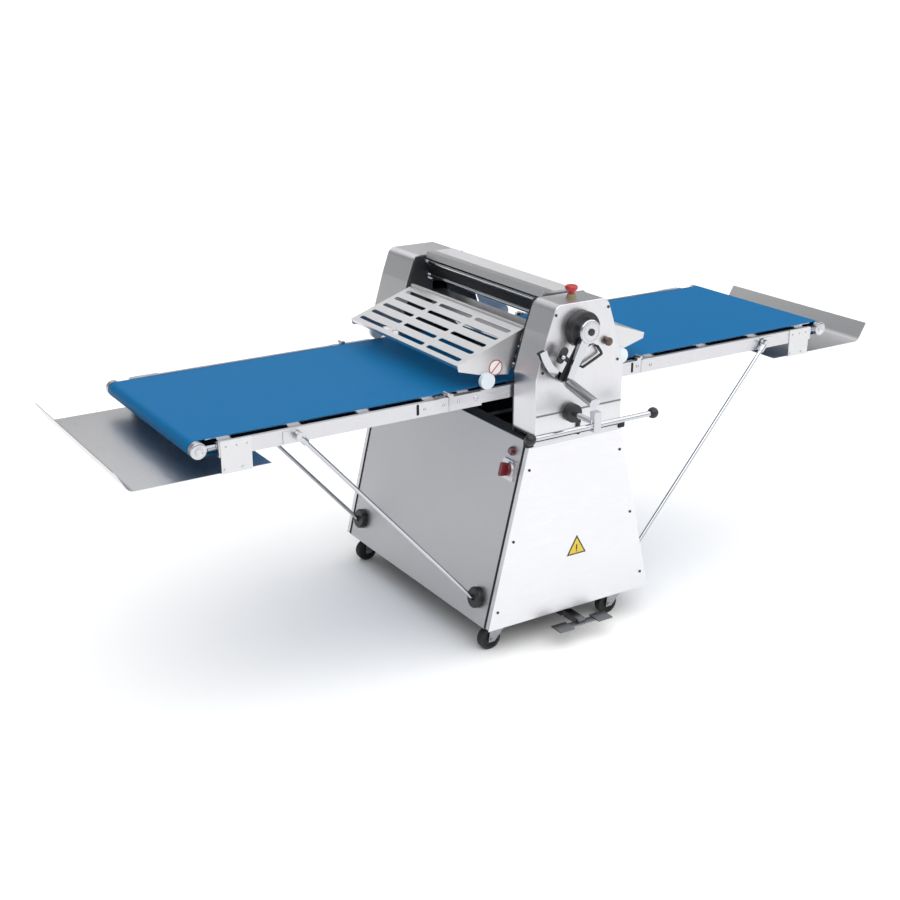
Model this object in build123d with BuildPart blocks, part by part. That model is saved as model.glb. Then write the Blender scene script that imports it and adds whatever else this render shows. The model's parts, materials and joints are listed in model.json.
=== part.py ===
from build123d import *
import os
from math import atan, cos, radians, sin

# Floor-standing dough sheeter: a leaning pedestal on casters, a roller head on top of it,
# and a folding belt table on each side.
# X runs along the belts, Y across them, Z is up from the floor. All lengths are millimetres.
# The near side (-Y) is the operator's side. While modelling, y = 0 is the belts' centre line and
# x = 0 the middle of the pedestal;
# save() moves every piece so that the machine's bounding box is centred in X and Y.

SIDES = {"left": -1, "right": 1}
NEAR, FAR = -1, 1

# Belts and tables
BELT_TOP = 848
BELT_HALF_WIDTH = 315
BELT_THICKNESS = 2
BELT_TURN = 24
ROLLER_BODY = 21.7
END_ROLLER_X = {"left": -1180, "right": 1170}
HINGE_X = {"left": -390, "right": 345}
HINGE_Z = BELT_TOP + 2
TABLE_END_X = {"left": -1126, "right": 1112}
RAIL_OUT = 347
RAIL_SHEET = 3
RAIL_BOTTOM, RAIL_TOP = 798, 842
RAIL_FLANGE = 12
BED_SHEET = 3
CROSSBAR = 40
CROSSBAR_DEPTH = 8
CROSSBAR_EAR = 5

# Braces
KNUCKLE_X = {"left": -891, "right": 880}
KNUCKLE_Z = 820
BRACE_TOP_Y, BRACE_FOOT_Y = 362, 374
BRACE_RADIUS = 6.5
SOCKET_Z = 173
SOCKET_RADIUS = 34
SOCKET_DEPTH = 20
BRACE_GAP = 3

# Catch trays
TRAY_BRACKET_X = {"left": (-1122, -1030), "right": (1008, 1100)}
TRAY_FLOOR = 750
TRAY_INNER_REACH = 60
TRAY_OUTER_REACH = 262
TRAY_SHEET = 2
TRAY_BEND = 28

# Pedestal
BASE_BOTTOM, BASE_TOP = 94, 690
BASE_HALF_BOTTOM, BASE_HALF_TOP = 318, 174
BASE_HALF_WIDTH = 463
PANEL_SHEET = 2.6
PANEL_HALF_WIDTH = 437
COVER_SHEET = 2
POST_REACH = 24
POST_FACE = 20
POST_SHEET = 3
FLOOR_SHEET, DECK_SHEET = 4, 6
LEAN = (BASE_HALF_BOTTOM - BASE_HALF_TOP) / (BASE_TOP - BASE_BOTTOM)
LEAN_ANGLE = atan(LEAN)

# Roller head
HEAD_X = 8
HEAD_INNER, HEAD_OUTER = 350, 463
FAR_OUTER = 523
HEAD_TOP = 1105
HEAD_SHEET = 2
HEAD_ROUND = 30
SIDE_PLATE = 10
SIDE_PLATE_INSET = 2.5
ROLL_RADIUS = 44
ROLL_HALF = 318
NIP = 8
LOWER_ROLL_Z = BELT_TOP + 2 - ROLL_RADIUS
UPPER_ROLL_Z = LOWER_ROLL_Z + 2 * ROLL_RADIUS + NIP
JOURNAL = 15
RUNNING = 0.05
DRIVE_ROLLER_OFFSET = 78
SMALL_JOURNAL = 8
TIE_BAR_RADIUS = 8
GUARD_PIVOT_OFFSET, GUARD_PIVOT_Z = 117, 1011
GUARD_HALF = 330
GUARD_SHEET = 2

# Controls
LEVER_X, LEVER_Z = 0, 1025
LEVER_ARM = 165
LEVER_LEAN = radians(27)
GRIP_TILT = radians(10)
GRIP_LENGTH = 142
GRIP_RADIUS = 16
BAR_X, BAR_Y, BAR_Z = -16, -575, 752
BAR_LEFT, BAR_RIGHT = 231, 216
BAR_RADIUS = 8.5
PIVOT_X, PIVOT_Z = BAR_X - 10, BAR_Z + 13
BALL_RADIUS = 17.5
PANEL_CONTROL_Y = -389
LAMP_Z, SWITCH_Z = 646, 588
ESTOP_Y = -405
PEDAL_X, PEDAL_Z = 11, 62

# Casters
WHEEL_RADIUS = 37.5
WHEEL_HALF = 13
CASTER_X, CASTER_Y = 235, 400
CASTER_TRAIL = 40

# Cable gland
GLAND_Z = 170
GLAND_BORE = 6
GLAND_NECK = 10
GLAND_END = 488

# Pedestal details
SCREW_HEIGHTS = (604, 379, 152)
SCREW_INSET = 20
SCREW_HEAD = 4.5
SCREW_RISE = 1.8
DECK_BAY_PITCH, DECK_BAY, DECK_BAY_HALF = 165, 140, 120

# Roller head details
HEAD_HALF, HEAD_KNEE_Z = 165, 890
HEAD_WAIST, HEAD_WAIST_Z = 127, 1018
HEAD_CROWN = 96
HEAD_EDGE = 3
TOP_SCREWS, MIDDLE_SCREWS, LOWER_SCREWS = (98, 1076), (142, 905), (146, 706)
HIGH_BARS, LOW_BARS = (50, 1084), (42, 1036)
BAR_FLANGE, BAR_FLANGE_WIDTH = 6, 7
TROUGH_SHEET = 2
TROUGH_EDGE, TROUGH_CREST, TROUGH_FLOOR = 1098, 1118, 1104
SLOT_HALF, SLOT_BOTTOM, SLOT_TOP = 30.5, 856, 1012
BLOCK_HALF, BLOCK_RISE = 30, 74
SPROCKET = 34

# Finger guard details
GUARD_PIN, GUARD_TUBE = 4, 6
GUARD_LIP_OFFSET, GUARD_LIP_Z, GUARD_LIP_DROP = 358, 927, 12
SLOT_ROW_PITCH, SLOT_ROWS_CENTRE = 47, 134
SLOT_PITCH, SLOT_LENGTH, SLOT_WIDTH = 212, 190, 16
STOP_RADIUS, STOP_WIDTH, STOP_SETBACK = 25, 15, 101
STOP_Z = RAIL_TOP + STOP_RADIUS + 0.4

# Table details
HINGE_GAP = 0.6
HINGE_BARREL, HINGE_PIN = 5, 2.5
KNUCKLE_IN, KNUCKLE_SPLIT = 319, 333
INNER_RAIL = 116
CARRIER_IN, CARRIER_OUT = 326, 339.5
CAP_IN, CAP_OUT, CAP_RADIUS = 318, 337, 23.5
TENSION_SCREW = 7
BRACE_PIN, BRACE_EYE = 5, 13
BRACE_FERRULE = 30
TRAY_HALF = 344
TRAY_LIP, TRAY_RISE = 74, 60
CROSSBAR_SHARES = (0.07, 0.36, 0.65, 0.93)

# Lever, bar and pedal details
DIAL_RADIUS, DIAL_DEPTH = 56, 30
LEVER_SHAFT, BAR_SHAFT = 8, 9
QUADRANT, QUADRANT_BAR = 162, 18
QUADRANT_LOW, QUADRANT_HIGH = radians(196), radians(250)
HUB_RADIUS, HUB_DEPTH = 37, 24
ARM_ROOT, ARM_TIP, ARM_SHEET = 17, 11, 12
HANDLE_PIN = 6
BOSS_RADIUS, BOSS_DEPTH = 29, 24
PEDAL_SHAFT, PEDAL_SPREAD = 7, 76

# Caster details
KINGPIN, AXLE = 6, 5

# The machine's frame: the lever's grip reaches furthest to the near side, the drive housing's screws
# to the far side, and the tray lips to the left and the right.
NEAR_REACH = 657.3
BELT_CENTRE_Y = (NEAR_REACH - FAR_OUTER - SCREW_RISE) / 2
HEAD_CENTRE_X = 11


# ---------------------------------------------------------------- helpers

def save(piece, name):
    """Set a finished piece in the machine's frame, label it and write its STEP file."""
    placed = piece.part.moved(Location((HEAD_CENTRE_X, BELT_CENTRE_Y, 0)))
    placed.label = name
    export_step(placed, f"parts/{name}.step")


def block(x, y, z, mode=Mode.ADD):
    """A straight block between the (low, high) pairs x, y and z."""
    centre = [(low + high) / 2 for low, high in (sorted(x), sorted(y), sorted(z))]
    size = [abs(high - low) for low, high in (x, y, z)]
    with Locations(tuple(centre)):
        Box(*size, mode=mode)


def across(radius, x, z, y, mode=Mode.ADD):
    """A round bar lying across the machine, between the pair y."""
    with Locations((x, (y[0] + y[1]) / 2, z)):
        Cylinder(radius, abs(y[1] - y[0]), rotation=(90, 0, 0), mode=mode)


def upright(radius, x, y, z, mode=Mode.ADD):
    """A round bar standing upright, between the pair z."""
    with Locations((x, y, (z[0] + z[1]) / 2)):
        Cylinder(radius, abs(z[1] - z[0]), mode=mode)


def rod(radius, start, end, mode=Mode.ADD):
    """A round bar from one point to another."""
    run = Vector(*end) - Vector(*start)
    with Locations(Plane(origin=start, z_dir=run)):
        Cylinder(radius, run.length, align=(Align.CENTER, Align.CENTER, Align.MIN), mode=mode)


def section(points, y, mode=Mode.ADD):
    """A straight-edged outline in X and Z, carried across the machine between the pair y."""
    low, high = sorted(y)
    with BuildSketch(Plane.XZ.offset(-high)) as outline:
        with BuildLine():
            Polyline(*points, close=True)
        make_face()
    extrude(outline.sketch, amount=high - low, mode=mode)


def facing(y_side, low, high):
    """The pair of y values between two distances from the centre, on the near or far side."""
    return (y_side * low, y_side * high)


def base_half(z):
    """Half the pedestal's length along X at a height."""
    return BASE_HALF_BOTTOM - LEAN * (z - BASE_BOTTOM)


def panel_plane(sign, y, z):
    """A plane on a leaning panel's outer face, facing outwards."""
    return Plane(
        origin=(sign * base_half(z), y, z),
        x_dir=(0, sign, 0),
        z_dir=(sign * cos(LEAN_ANGLE), 0, sin(LEAN_ANGLE)),
    )


def leaning(sign, inner, outer, z, y):
    """A strip parallel to a leaning panel, between two depths behind its outer face."""
    low, high = z
    section(
        [
            (sign * (base_half(low) - inner), low),
            (sign * (base_half(low) - outer), low),
            (sign * (base_half(high) - outer), high),
            (sign * (base_half(high) - inner), high),
        ],
        y,
    )


# ---------------------------------------------------------------- pedestal

def build_base():
    """The pedestal: angle posts, leaning panels, flat covers, floor, deck and their screws."""
    with BuildPart() as corner_posts:
        for sign in (-1, 1):
            for y_side in (NEAR, FAR):
                outer = BASE_HALF_WIDTH - COVER_SHEET
                inner = outer - POST_FACE
                height = (BASE_BOTTOM + FLOOR_SHEET, BASE_TOP - DECK_SHEET)
                leaning(sign, 0, POST_SHEET, height, facing(y_side, inner, outer))
                leaning(sign, 0, POST_REACH, height, facing(y_side, outer - POST_SHEET, outer))
    save(corner_posts, "corner_posts")

    for side, sign in SIDES.items():
        with BuildPart() as panel:
            width = (-PANEL_HALF_WIDTH, PANEL_HALF_WIDTH)
            leaning(sign, 0, PANEL_SHEET, (BASE_BOTTOM, BASE_TOP), width)
        save(panel, f"{side}_panel")

    for name, y_side in (("front_cover", NEAR), ("rear_cover", FAR)):
        with BuildPart() as cover:
            section(
                [
                    (-base_half(BASE_BOTTOM), BASE_BOTTOM),
                    (base_half(BASE_BOTTOM), BASE_BOTTOM),
                    (base_half(BASE_TOP), BASE_TOP),
                    (-base_half(BASE_TOP), BASE_TOP),
                ],
                facing(y_side, BASE_HALF_WIDTH - COVER_SHEET, BASE_HALF_WIDTH),
            )
            if y_side == FAR:
                through = (BASE_HALF_WIDTH - 10, BASE_HALF_WIDTH + 10)
                across(GLAND_NECK, 0, GLAND_Z, through, Mode.SUBTRACT)
        save(cover, name)

    with BuildPart() as base_plates:
        edge = base_half(BASE_BOTTOM) - 4
        block((-edge, edge), (-458, 458), (BASE_BOTTOM, BASE_BOTTOM + FLOOR_SHEET))
        edge = base_half(BASE_TOP) - 4
        block((-edge, edge), (-460, 460), (BASE_TOP - DECK_SHEET, BASE_TOP))
        with Locations((0, 0, BASE_TOP)):
            with GridLocations(0, DECK_BAY_PITCH, 1, 4):
                Box(2 * DECK_BAY_HALF, DECK_BAY, 4 * DECK_SHEET, mode=Mode.SUBTRACT)
        block((PEDAL_X - 16, PEDAL_X + 16), (-420, -380), (PEDAL_Z - 14, BASE_BOTTOM))
        across(PEDAL_SHAFT + RUNNING, PEDAL_X, PEDAL_Z, (-430, -370), Mode.SUBTRACT)
    save(base_plates, "base_plates")

    with BuildPart() as cover_screws:
        for y_side in (NEAR, FAR):
            for z in SCREW_HEIGHTS:
                for sign in (-1, 1):
                    x = sign * (base_half(z) - SCREW_INSET)
                    across(SCREW_HEAD, x, z, facing(y_side, BASE_HALF_WIDTH, BASE_HALF_WIDTH + SCREW_RISE))
            face = HEAD_OUTER if y_side == NEAR else FAR_OUTER
            for spread, z in (TOP_SCREWS, MIDDLE_SCREWS, LOWER_SCREWS):
                for sign in (-1, 1):
                    across(SCREW_HEAD, HEAD_X + sign * spread, z, facing(y_side, face, face + SCREW_RISE))
    save(cover_screws, "cover_screws")

    with BuildPart() as cable_gland:
        across(GLAND_NECK - RUNNING, 0, GLAND_Z, (BASE_HALF_WIDTH - 14, BASE_HALF_WIDTH + 1))
        with BuildSketch(Plane.XZ.offset(-(GLAND_END - 12))):
            with Locations((0, GLAND_Z)):
                RegularPolygon(GLAND_NECK + 5, 6)
        extrude(amount=GLAND_END - 12 - BASE_HALF_WIDTH)
        across(GLAND_NECK, 0, GLAND_Z, (GLAND_END - 12, GLAND_END))
        fillet(cable_gland.edges().filter_by(GeomType.CIRCLE).sort_by(Axis.Y)[-1], 3)
        across(GLAND_BORE, 0, GLAND_Z, (BASE_HALF_WIDTH - 20, GLAND_END + 5), Mode.SUBTRACT)
    save(cable_gland, "cable_gland")


# ---------------------------------------------------------------- roller head

def head_outline(inset=0):
    """The roller head's side outline, set in by a margin, with rounded shoulders."""
    with BuildLine() as edge:
        Polyline(
            (HEAD_X - HEAD_HALF + inset, BASE_TOP + inset),
            (HEAD_X + HEAD_HALF - inset, BASE_TOP + inset),
            (HEAD_X + HEAD_HALF - inset, HEAD_KNEE_Z),
            (HEAD_X + HEAD_WAIST - inset, HEAD_WAIST_Z),
            (HEAD_X + HEAD_CROWN - inset, HEAD_TOP - inset),
            (HEAD_X - HEAD_CROWN + inset, HEAD_TOP - inset),
            (HEAD_X - HEAD_WAIST + inset, HEAD_WAIST_Z),
            (HEAD_X - HEAD_HALF + inset, HEAD_KNEE_Z),
            close=True,
        )
    make_face(edge.line)


def build_head():
    """The head's covers, side plates, tie bars, top tray and lower scraper."""
    for name, y_side in (("head_cover_near", NEAR), ("head_cover_far", FAR)):
        start = -FAR_OUTER if y_side == FAR else HEAD_INNER
        depth = FAR_OUTER - HEAD_INNER if y_side == FAR else HEAD_OUTER - HEAD_INNER
        hollow = start if y_side == NEAR else start + HEAD_SHEET
        with BuildPart() as cover:
            with BuildSketch(Plane.XZ.offset(start)) as outline:
                head_outline()
                shoulders = outline.vertices().group_by(Axis.Z)[-1]
                fillet(shoulders, HEAD_ROUND)
            extrude(amount=depth)
            outer_face = cover.faces().sort_by(Axis.Y)[0 if y_side == NEAR else -1]
            fillet(outer_face.edges().sort_by(Axis.Z)[1:], HEAD_EDGE)
            with BuildSketch(Plane.XZ.offset(hollow)) as outline:
                head_outline(HEAD_SHEET)
                shoulders = outline.vertices().group_by(Axis.Z)[-1]
                fillet(shoulders, HEAD_ROUND - HEAD_SHEET)
            extrude(amount=depth - HEAD_SHEET, mode=Mode.SUBTRACT)
            if y_side == NEAR:
                face = (-HEAD_OUTER - 5, -HEAD_OUTER + 5)
                across(LEVER_SHAFT + 0.5, LEVER_X, LEVER_Z, face, Mode.SUBTRACT)
                across(BAR_SHAFT + 0.5, PIVOT_X, PIVOT_Z, face, Mode.SUBTRACT)
        save(cover, name)

    with BuildPart() as side_plates:
        for y_side in (NEAR, FAR):
            start = HEAD_INNER - SIDE_PLATE if y_side == NEAR else -HEAD_INNER
            with BuildSketch(Plane.XZ.offset(start)):
                head_outline(SIDE_PLATE_INSET)
                with Locations((HEAD_X, (SLOT_BOTTOM + SLOT_TOP) / 2)):
                    Rectangle(2 * SLOT_HALF, SLOT_TOP - SLOT_BOTTOM, mode=Mode.SUBTRACT)
                with Locations((HEAD_X, LOWER_ROLL_Z)):
                    Circle(JOURNAL + RUNNING, mode=Mode.SUBTRACT)
                for sign in (-1, 1):
                    with Locations((HEAD_X + sign * GUARD_PIVOT_OFFSET, GUARD_PIVOT_Z)):
                        Circle(GUARD_PIN + RUNNING, mode=Mode.SUBTRACT)
            extrude(amount=SIDE_PLATE)
    save(side_plates, "side_plates")

    inner = HEAD_INNER - SIDE_PLATE
    with BuildPart() as tie_bars:
        for spread, z in (HIGH_BARS, LOW_BARS):
            for sign in (-1, 1):
                x = HEAD_X + sign * spread
                across(TIE_BAR_RADIUS, x, z, (-inner, inner))
                for y_side in (NEAR, FAR):
                    flange = facing(y_side, inner - BAR_FLANGE_WIDTH, inner)
                    across(TIE_BAR_RADIUS + BAR_FLANGE, x, z, flange)
    save(tie_bars, "tie_bars")

    with BuildPart() as top_tray:
        with BuildSketch(Plane.XZ.offset(-inner + 1)):
            with BuildLine():
                Polyline(
                    (HEAD_X - 60, TROUGH_EDGE),
                    (HEAD_X - 54, TROUGH_CREST + 1),
                    (HEAD_X - 24, TROUGH_CREST),
                    (HEAD_X + 8, TROUGH_FLOOR),
                    (HEAD_X + 50, TROUGH_CREST),
                    (HEAD_X + 56, TROUGH_EDGE),
                )
                offset(amount=TROUGH_SHEET, side=Side.RIGHT, kind=Kind.INTERSECTION)
            make_face()
        extrude(amount=2 * (inner - 1))
    save(top_tray, "top_tray")

    with BuildPart() as lower_scraper:
        for sign in (-1, 1):
            section(
                [
                    (HEAD_X + sign * 10, LOWER_ROLL_Z - 62),
                    (HEAD_X + sign * 44, LOWER_ROLL_Z - 62),
                    (HEAD_X + sign * 28, LOWER_ROLL_Z - 37),
                    (HEAD_X + sign * 26, LOWER_ROLL_Z - 38.5),
                    (HEAD_X + sign * 39, LOWER_ROLL_Z - 59),
                    (HEAD_X + sign * 10, LOWER_ROLL_Z - 59),
                ],
                (-ROLL_HALF + 2, ROLL_HALF - 2),
            )
        block((HEAD_X - 12, HEAD_X + 12), (-inner, inner), (LOWER_ROLL_Z - 70, LOWER_ROLL_Z - 59))
    save(lower_scraper, "lower_scraper")


def build_rolls():
    """The two sheeting rolls and the carriage that raises and lowers the upper one."""
    with BuildPart() as lower_roller:
        across(ROLL_RADIUS, HEAD_X, LOWER_ROLL_Z, (-ROLL_HALF, ROLL_HALF))
        across(JOURNAL, HEAD_X, LOWER_ROLL_Z, (-ROLL_HALF - 60, ROLL_HALF + 60))
        fillet(lower_roller.edges().filter_by(GeomType.CIRCLE).filter_by(lambda e: e.radius > 40), 1.5)
        across(SPROCKET, HEAD_X, LOWER_ROLL_Z, (ROLL_HALF + 42, ROLL_HALF + 50))
    save(lower_roller, "lower_roller")

    with BuildPart() as upper_roller:
        across(ROLL_RADIUS, HEAD_X, UPPER_ROLL_Z, (-ROLL_HALF, ROLL_HALF))
        across(JOURNAL, HEAD_X, UPPER_ROLL_Z, (-ROLL_HALF - 50, ROLL_HALF + 50))
        fillet(upper_roller.edges().filter_by(GeomType.CIRCLE).filter_by(lambda e: e.radius > 40), 1.5)
    save(upper_roller, "upper_roller")

    with BuildPart() as upper_carriage:
        for y_side in (NEAR, FAR):
            block(
                (HEAD_X - BLOCK_HALF, HEAD_X + BLOCK_HALF),
                facing(y_side, ROLL_HALF + 8, ROLL_HALF + 46),
                (UPPER_ROLL_Z - 34, UPPER_ROLL_Z + BLOCK_RISE),
            )
            bore = facing(y_side, ROLL_HALF, ROLL_HALF + 60)
            across(JOURNAL + RUNNING, HEAD_X, UPPER_ROLL_Z, bore, Mode.SUBTRACT)
        block(
            (HEAD_X - 24, HEAD_X + 24),
            (-ROLL_HALF - 10, ROLL_HALF + 10),
            (UPPER_ROLL_Z + BLOCK_RISE - 10, UPPER_ROLL_Z + BLOCK_RISE),
        )
        for sign in (-1, 1):
            section(
                [
                    (HEAD_X + sign * 24, UPPER_ROLL_Z + BLOCK_RISE - 5),
                    (HEAD_X + sign * 24, UPPER_ROLL_Z + BLOCK_RISE),
                    (HEAD_X + sign * 58, UPPER_ROLL_Z + 34),
                    (HEAD_X + sign * 46, UPPER_ROLL_Z + 12),
                    (HEAD_X + sign * 44.8, UPPER_ROLL_Z + 13),
                    (HEAD_X + sign * 55, UPPER_ROLL_Z + 33),
                ],
                (-ROLL_HALF + 2, ROLL_HALF - 2),
            )
    save(upper_carriage, "upper_carriage")


def build_guards():
    """The slotted finger guards, hinged at the head, and the nylon stops they rest on."""
    for side, sign in SIDES.items():
        pivot = (HEAD_X + sign * GUARD_PIVOT_OFFSET, GUARD_PIVOT_Z)
        lip = (HEAD_X + sign * GUARD_LIP_OFFSET, GUARD_LIP_Z)
        slope = Vector(lip[0] - pivot[0], 0, lip[1] - pivot[1])
        length = slope.length
        fall = slope.normalized()
        upward = Vector(-fall.Z * sign, 0, fall.X * sign)
        with BuildPart() as guard:
            sheet_plane = Plane(origin=(pivot[0], 0, pivot[1]), x_dir=fall, z_dir=upward)
            with BuildSketch(sheet_plane):
                with Locations((length / 2, 0)):
                    Rectangle(length, 2 * GUARD_HALF)
                with Locations((SLOT_ROWS_CENTRE, 0)):
                    with GridLocations(SLOT_ROW_PITCH, SLOT_PITCH, 5, 3):
                        SlotOverall(SLOT_LENGTH, SLOT_WIDTH, rotation=90, mode=Mode.SUBTRACT)
            extrude(amount=-GUARD_SHEET)
            with BuildSketch(Plane(origin=(lip[0], 0, lip[1]), x_dir=(0, 1, 0), z_dir=fall)):
                with Locations((0, -GUARD_LIP_DROP * sign / 2)):
                    Rectangle(2 * GUARD_HALF, GUARD_LIP_DROP)
            extrude(amount=-GUARD_SHEET)
            for y_side in (NEAR, FAR):
                section(
                    [
                        pivot,
                        lip,
                        (lip[0] - sign * 4, lip[1] - 18),
                        (lip[0] - sign * 76, lip[1] - 38),
                        (lip[0] - sign * 185, lip[1] - 54),
                    ],
                    facing(y_side, GUARD_HALF - GUARD_SHEET, GUARD_HALF),
                )
            across(GUARD_TUBE, pivot[0], pivot[1], (-GUARD_HALF, GUARD_HALF))
            across(GUARD_PIN, pivot[0], pivot[1], (-HEAD_INNER + 1, HEAD_INNER - 1))
        save(guard, f"{side}_guard")

        with BuildPart() as guard_stops:
            for y_side in (NEAR, FAR):
                x = lip[0] - sign * STOP_SETBACK
                across(STOP_RADIUS, x, STOP_Z, facing(y_side, GUARD_HALF, GUARD_HALF + STOP_WIDTH))
        save(guard_stops, f"{side}_guard_stops")


# ---------------------------------------------------------------- tables

def belt_loop(turn_x, cut_x):
    """Half of a belt loop: it turns round one roller and is cut square at the hinge."""
    axle_z = BELT_TOP - BELT_TURN
    outward = 1 if turn_x > cut_x else -1
    for radius, mode in ((BELT_TURN, Mode.ADD), (BELT_TURN - BELT_THICKNESS, Mode.SUBTRACT)):
        across(radius, turn_x, axle_z, (-BELT_HALF_WIDTH, BELT_HALF_WIDTH), mode)
        overrun = 0 if mode is Mode.ADD else outward
        block(
            (turn_x, cut_x - overrun),
            (-BELT_HALF_WIDTH, BELT_HALF_WIDTH),
            (axle_z - radius, axle_z + radius),
            mode,
        )


def rail(x, y_side):
    """A channel rail, open towards the belt."""
    web = facing(y_side, RAIL_OUT - RAIL_SHEET, RAIL_OUT)
    flange = facing(y_side, RAIL_OUT - RAIL_FLANGE, RAIL_OUT)
    block(x, web, (RAIL_BOTTOM, RAIL_TOP))
    block(x, flange, (RAIL_BOTTOM, RAIL_BOTTOM + RAIL_SHEET))
    block(x, flange, (RAIL_TOP - RAIL_SHEET, RAIL_TOP))


def bed(x, bars, reach):
    """The flat slider bed under the belt, with the crossbars that carry it out to the rails."""
    surface = BELT_TOP - BELT_THICKNESS
    block(x, (-BELT_HALF_WIDTH + 3, BELT_HALF_WIDTH - 3), (surface - BED_SHEET, surface))
    under = surface - BED_SHEET
    for centre in bars:
        bar = (centre - CROSSBAR / 2, centre + CROSSBAR / 2)
        block(bar, (-BELT_HALF_WIDTH + 3, BELT_HALF_WIDTH - 3), (under - CROSSBAR_DEPTH, under))
        block(bar, (-reach, reach), (RAIL_TOP - RAIL_SHEET - CROSSBAR_EAR, RAIL_TOP - RAIL_SHEET))


def build_inner_table(side, sign):
    """The short fixed part of a table: rails, bed, belt and drive roller beside the head."""
    hinge = HINGE_X[side]
    roller_x = HEAD_X + sign * DRIVE_ROLLER_OFFSET
    edge = hinge - sign * HINGE_GAP
    rail_end = hinge - sign * INNER_RAIL
    axle_z = BELT_TOP - BELT_TURN
    with BuildPart() as inner_frame:
        for y_side in (NEAR, FAR):
            rail((edge, rail_end), y_side)
            carrier = facing(y_side, CARRIER_IN, CARRIER_OUT)
            block((hinge - sign * 24, HEAD_X + sign * 54), carrier, (RAIL_BOTTOM + 4, RAIL_TOP))
            across(SMALL_JOURNAL + RUNNING, roller_x, axle_z, carrier, Mode.SUBTRACT)
            tie = facing(y_side, CARRIER_OUT, RAIL_OUT - RAIL_SHEET)
            block((hinge - sign * 30, hinge - sign * 50), tie, (RAIL_BOTTOM + 6, RAIL_TOP - 6))
            knuckle = facing(y_side, KNUCKLE_SPLIT + 0.4, RAIL_OUT)
            across(HINGE_BARREL, hinge, HINGE_Z, knuckle)
            block((hinge - sign * 0.6, hinge - sign * 16), knuckle, (RAIL_TOP - 3, HINGE_Z))
            bore = facing(y_side, KNUCKLE_SPLIT, RAIL_OUT + 1)
            across(HINGE_PIN + RUNNING, hinge, HINGE_Z, bore, Mode.SUBTRACT)
        bars = (hinge - sign * 70, roller_x + sign * 60)
        bed((edge, roller_x + sign * (BELT_TURN + 6)), bars, CARRIER_OUT - 1)
    save(inner_frame, f"{side}_inner_frame")

    with BuildPart() as inner_belt:
        belt_loop(roller_x, edge)
    save(inner_belt, f"{side}_inner_belt")

    with BuildPart() as drive_roller:
        across(ROLLER_BODY, roller_x, axle_z, (-BELT_HALF_WIDTH - 2, BELT_HALF_WIDTH + 2))
        across(SMALL_JOURNAL, roller_x, axle_z, (-CARRIER_OUT + 1, CARRIER_OUT - 1))
    save(drive_roller, f"{side}_drive_roller")


def build_outer_table(side, sign):
    """The long folding part of a table: rails, bed, belt, end roller and hinge leaves."""
    hinge = HINGE_X[side]
    edge = hinge + sign * HINGE_GAP
    end = TABLE_END_X[side]
    roller_x = END_ROLLER_X[side]
    axle_z = BELT_TOP - BELT_TURN
    bed_end = roller_x - sign * (BELT_TURN + 6)
    span = bed_end - hinge
    with BuildPart() as table_frame:
        bars = [hinge + span * share for share in CROSSBAR_SHARES]
        bed((edge, bed_end), bars, RAIL_OUT - RAIL_SHEET / 2)
        for y_side in (NEAR, FAR):
            rail((edge + sign * 0.2, end), y_side)
            leaf = facing(y_side, KNUCKLE_IN, KNUCKLE_SPLIT)
            across(HINGE_BARREL, hinge, HINGE_Z, leaf)
            across(HINGE_PIN, hinge, HINGE_Z, facing(y_side, KNUCKLE_IN, RAIL_OUT - 1))
            block((hinge + sign * 0.6, hinge + sign * 8), leaf, (RAIL_TOP - 2, HINGE_Z))
            arm = facing(y_side, KNUCKLE_IN, RAIL_OUT)
            block((hinge + sign * 6, hinge + sign * 34), arm, (RAIL_TOP - 6, RAIL_TOP + 1))
            cap = facing(y_side, CAP_IN, CAP_OUT)
            across(CAP_RADIUS, roller_x, axle_z, cap)
            screw_y = y_side * (CAP_IN + CAP_OUT) / 2
            rod(TENSION_SCREW, (roller_x - sign * 16, screw_y, axle_z), (end - sign * 30, screw_y, axle_z))
            nut = facing(y_side, CAP_IN, RAIL_OUT - RAIL_SHEET)
            block((end, end - sign * 24), nut, (axle_z - 12, axle_z + 12))
            bore = facing(y_side, CAP_IN - 2, CAP_OUT - 4)
            across(SMALL_JOURNAL + RUNNING, roller_x, axle_z, bore, Mode.SUBTRACT)
            pin = facing(y_side, RAIL_OUT - 1, BRACE_TOP_Y + 9)
            across(BRACE_PIN, KNUCKLE_X[side], KNUCKLE_Z, pin)
            block(
                (KNUCKLE_X[side] + sign * 2, KNUCKLE_X[side] + sign * 44),
                facing(y_side, RAIL_OUT - 1, RAIL_OUT + 3),
                (KNUCKLE_Z - 20, KNUCKLE_Z + 16),
            )
    save(table_frame, f"{side}_table_frame")

    with BuildPart() as table_belt:
        belt_loop(roller_x, edge)
    save(table_belt, f"{side}_table_belt")

    with BuildPart() as end_roller:
        across(ROLLER_BODY, roller_x, axle_z, (-BELT_HALF_WIDTH - 1, BELT_HALF_WIDTH + 1))
        across(SMALL_JOURNAL, roller_x, axle_z, (-CAP_OUT + 5, CAP_OUT - 5))
    save(end_roller, f"{side}_end_roller")


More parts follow.
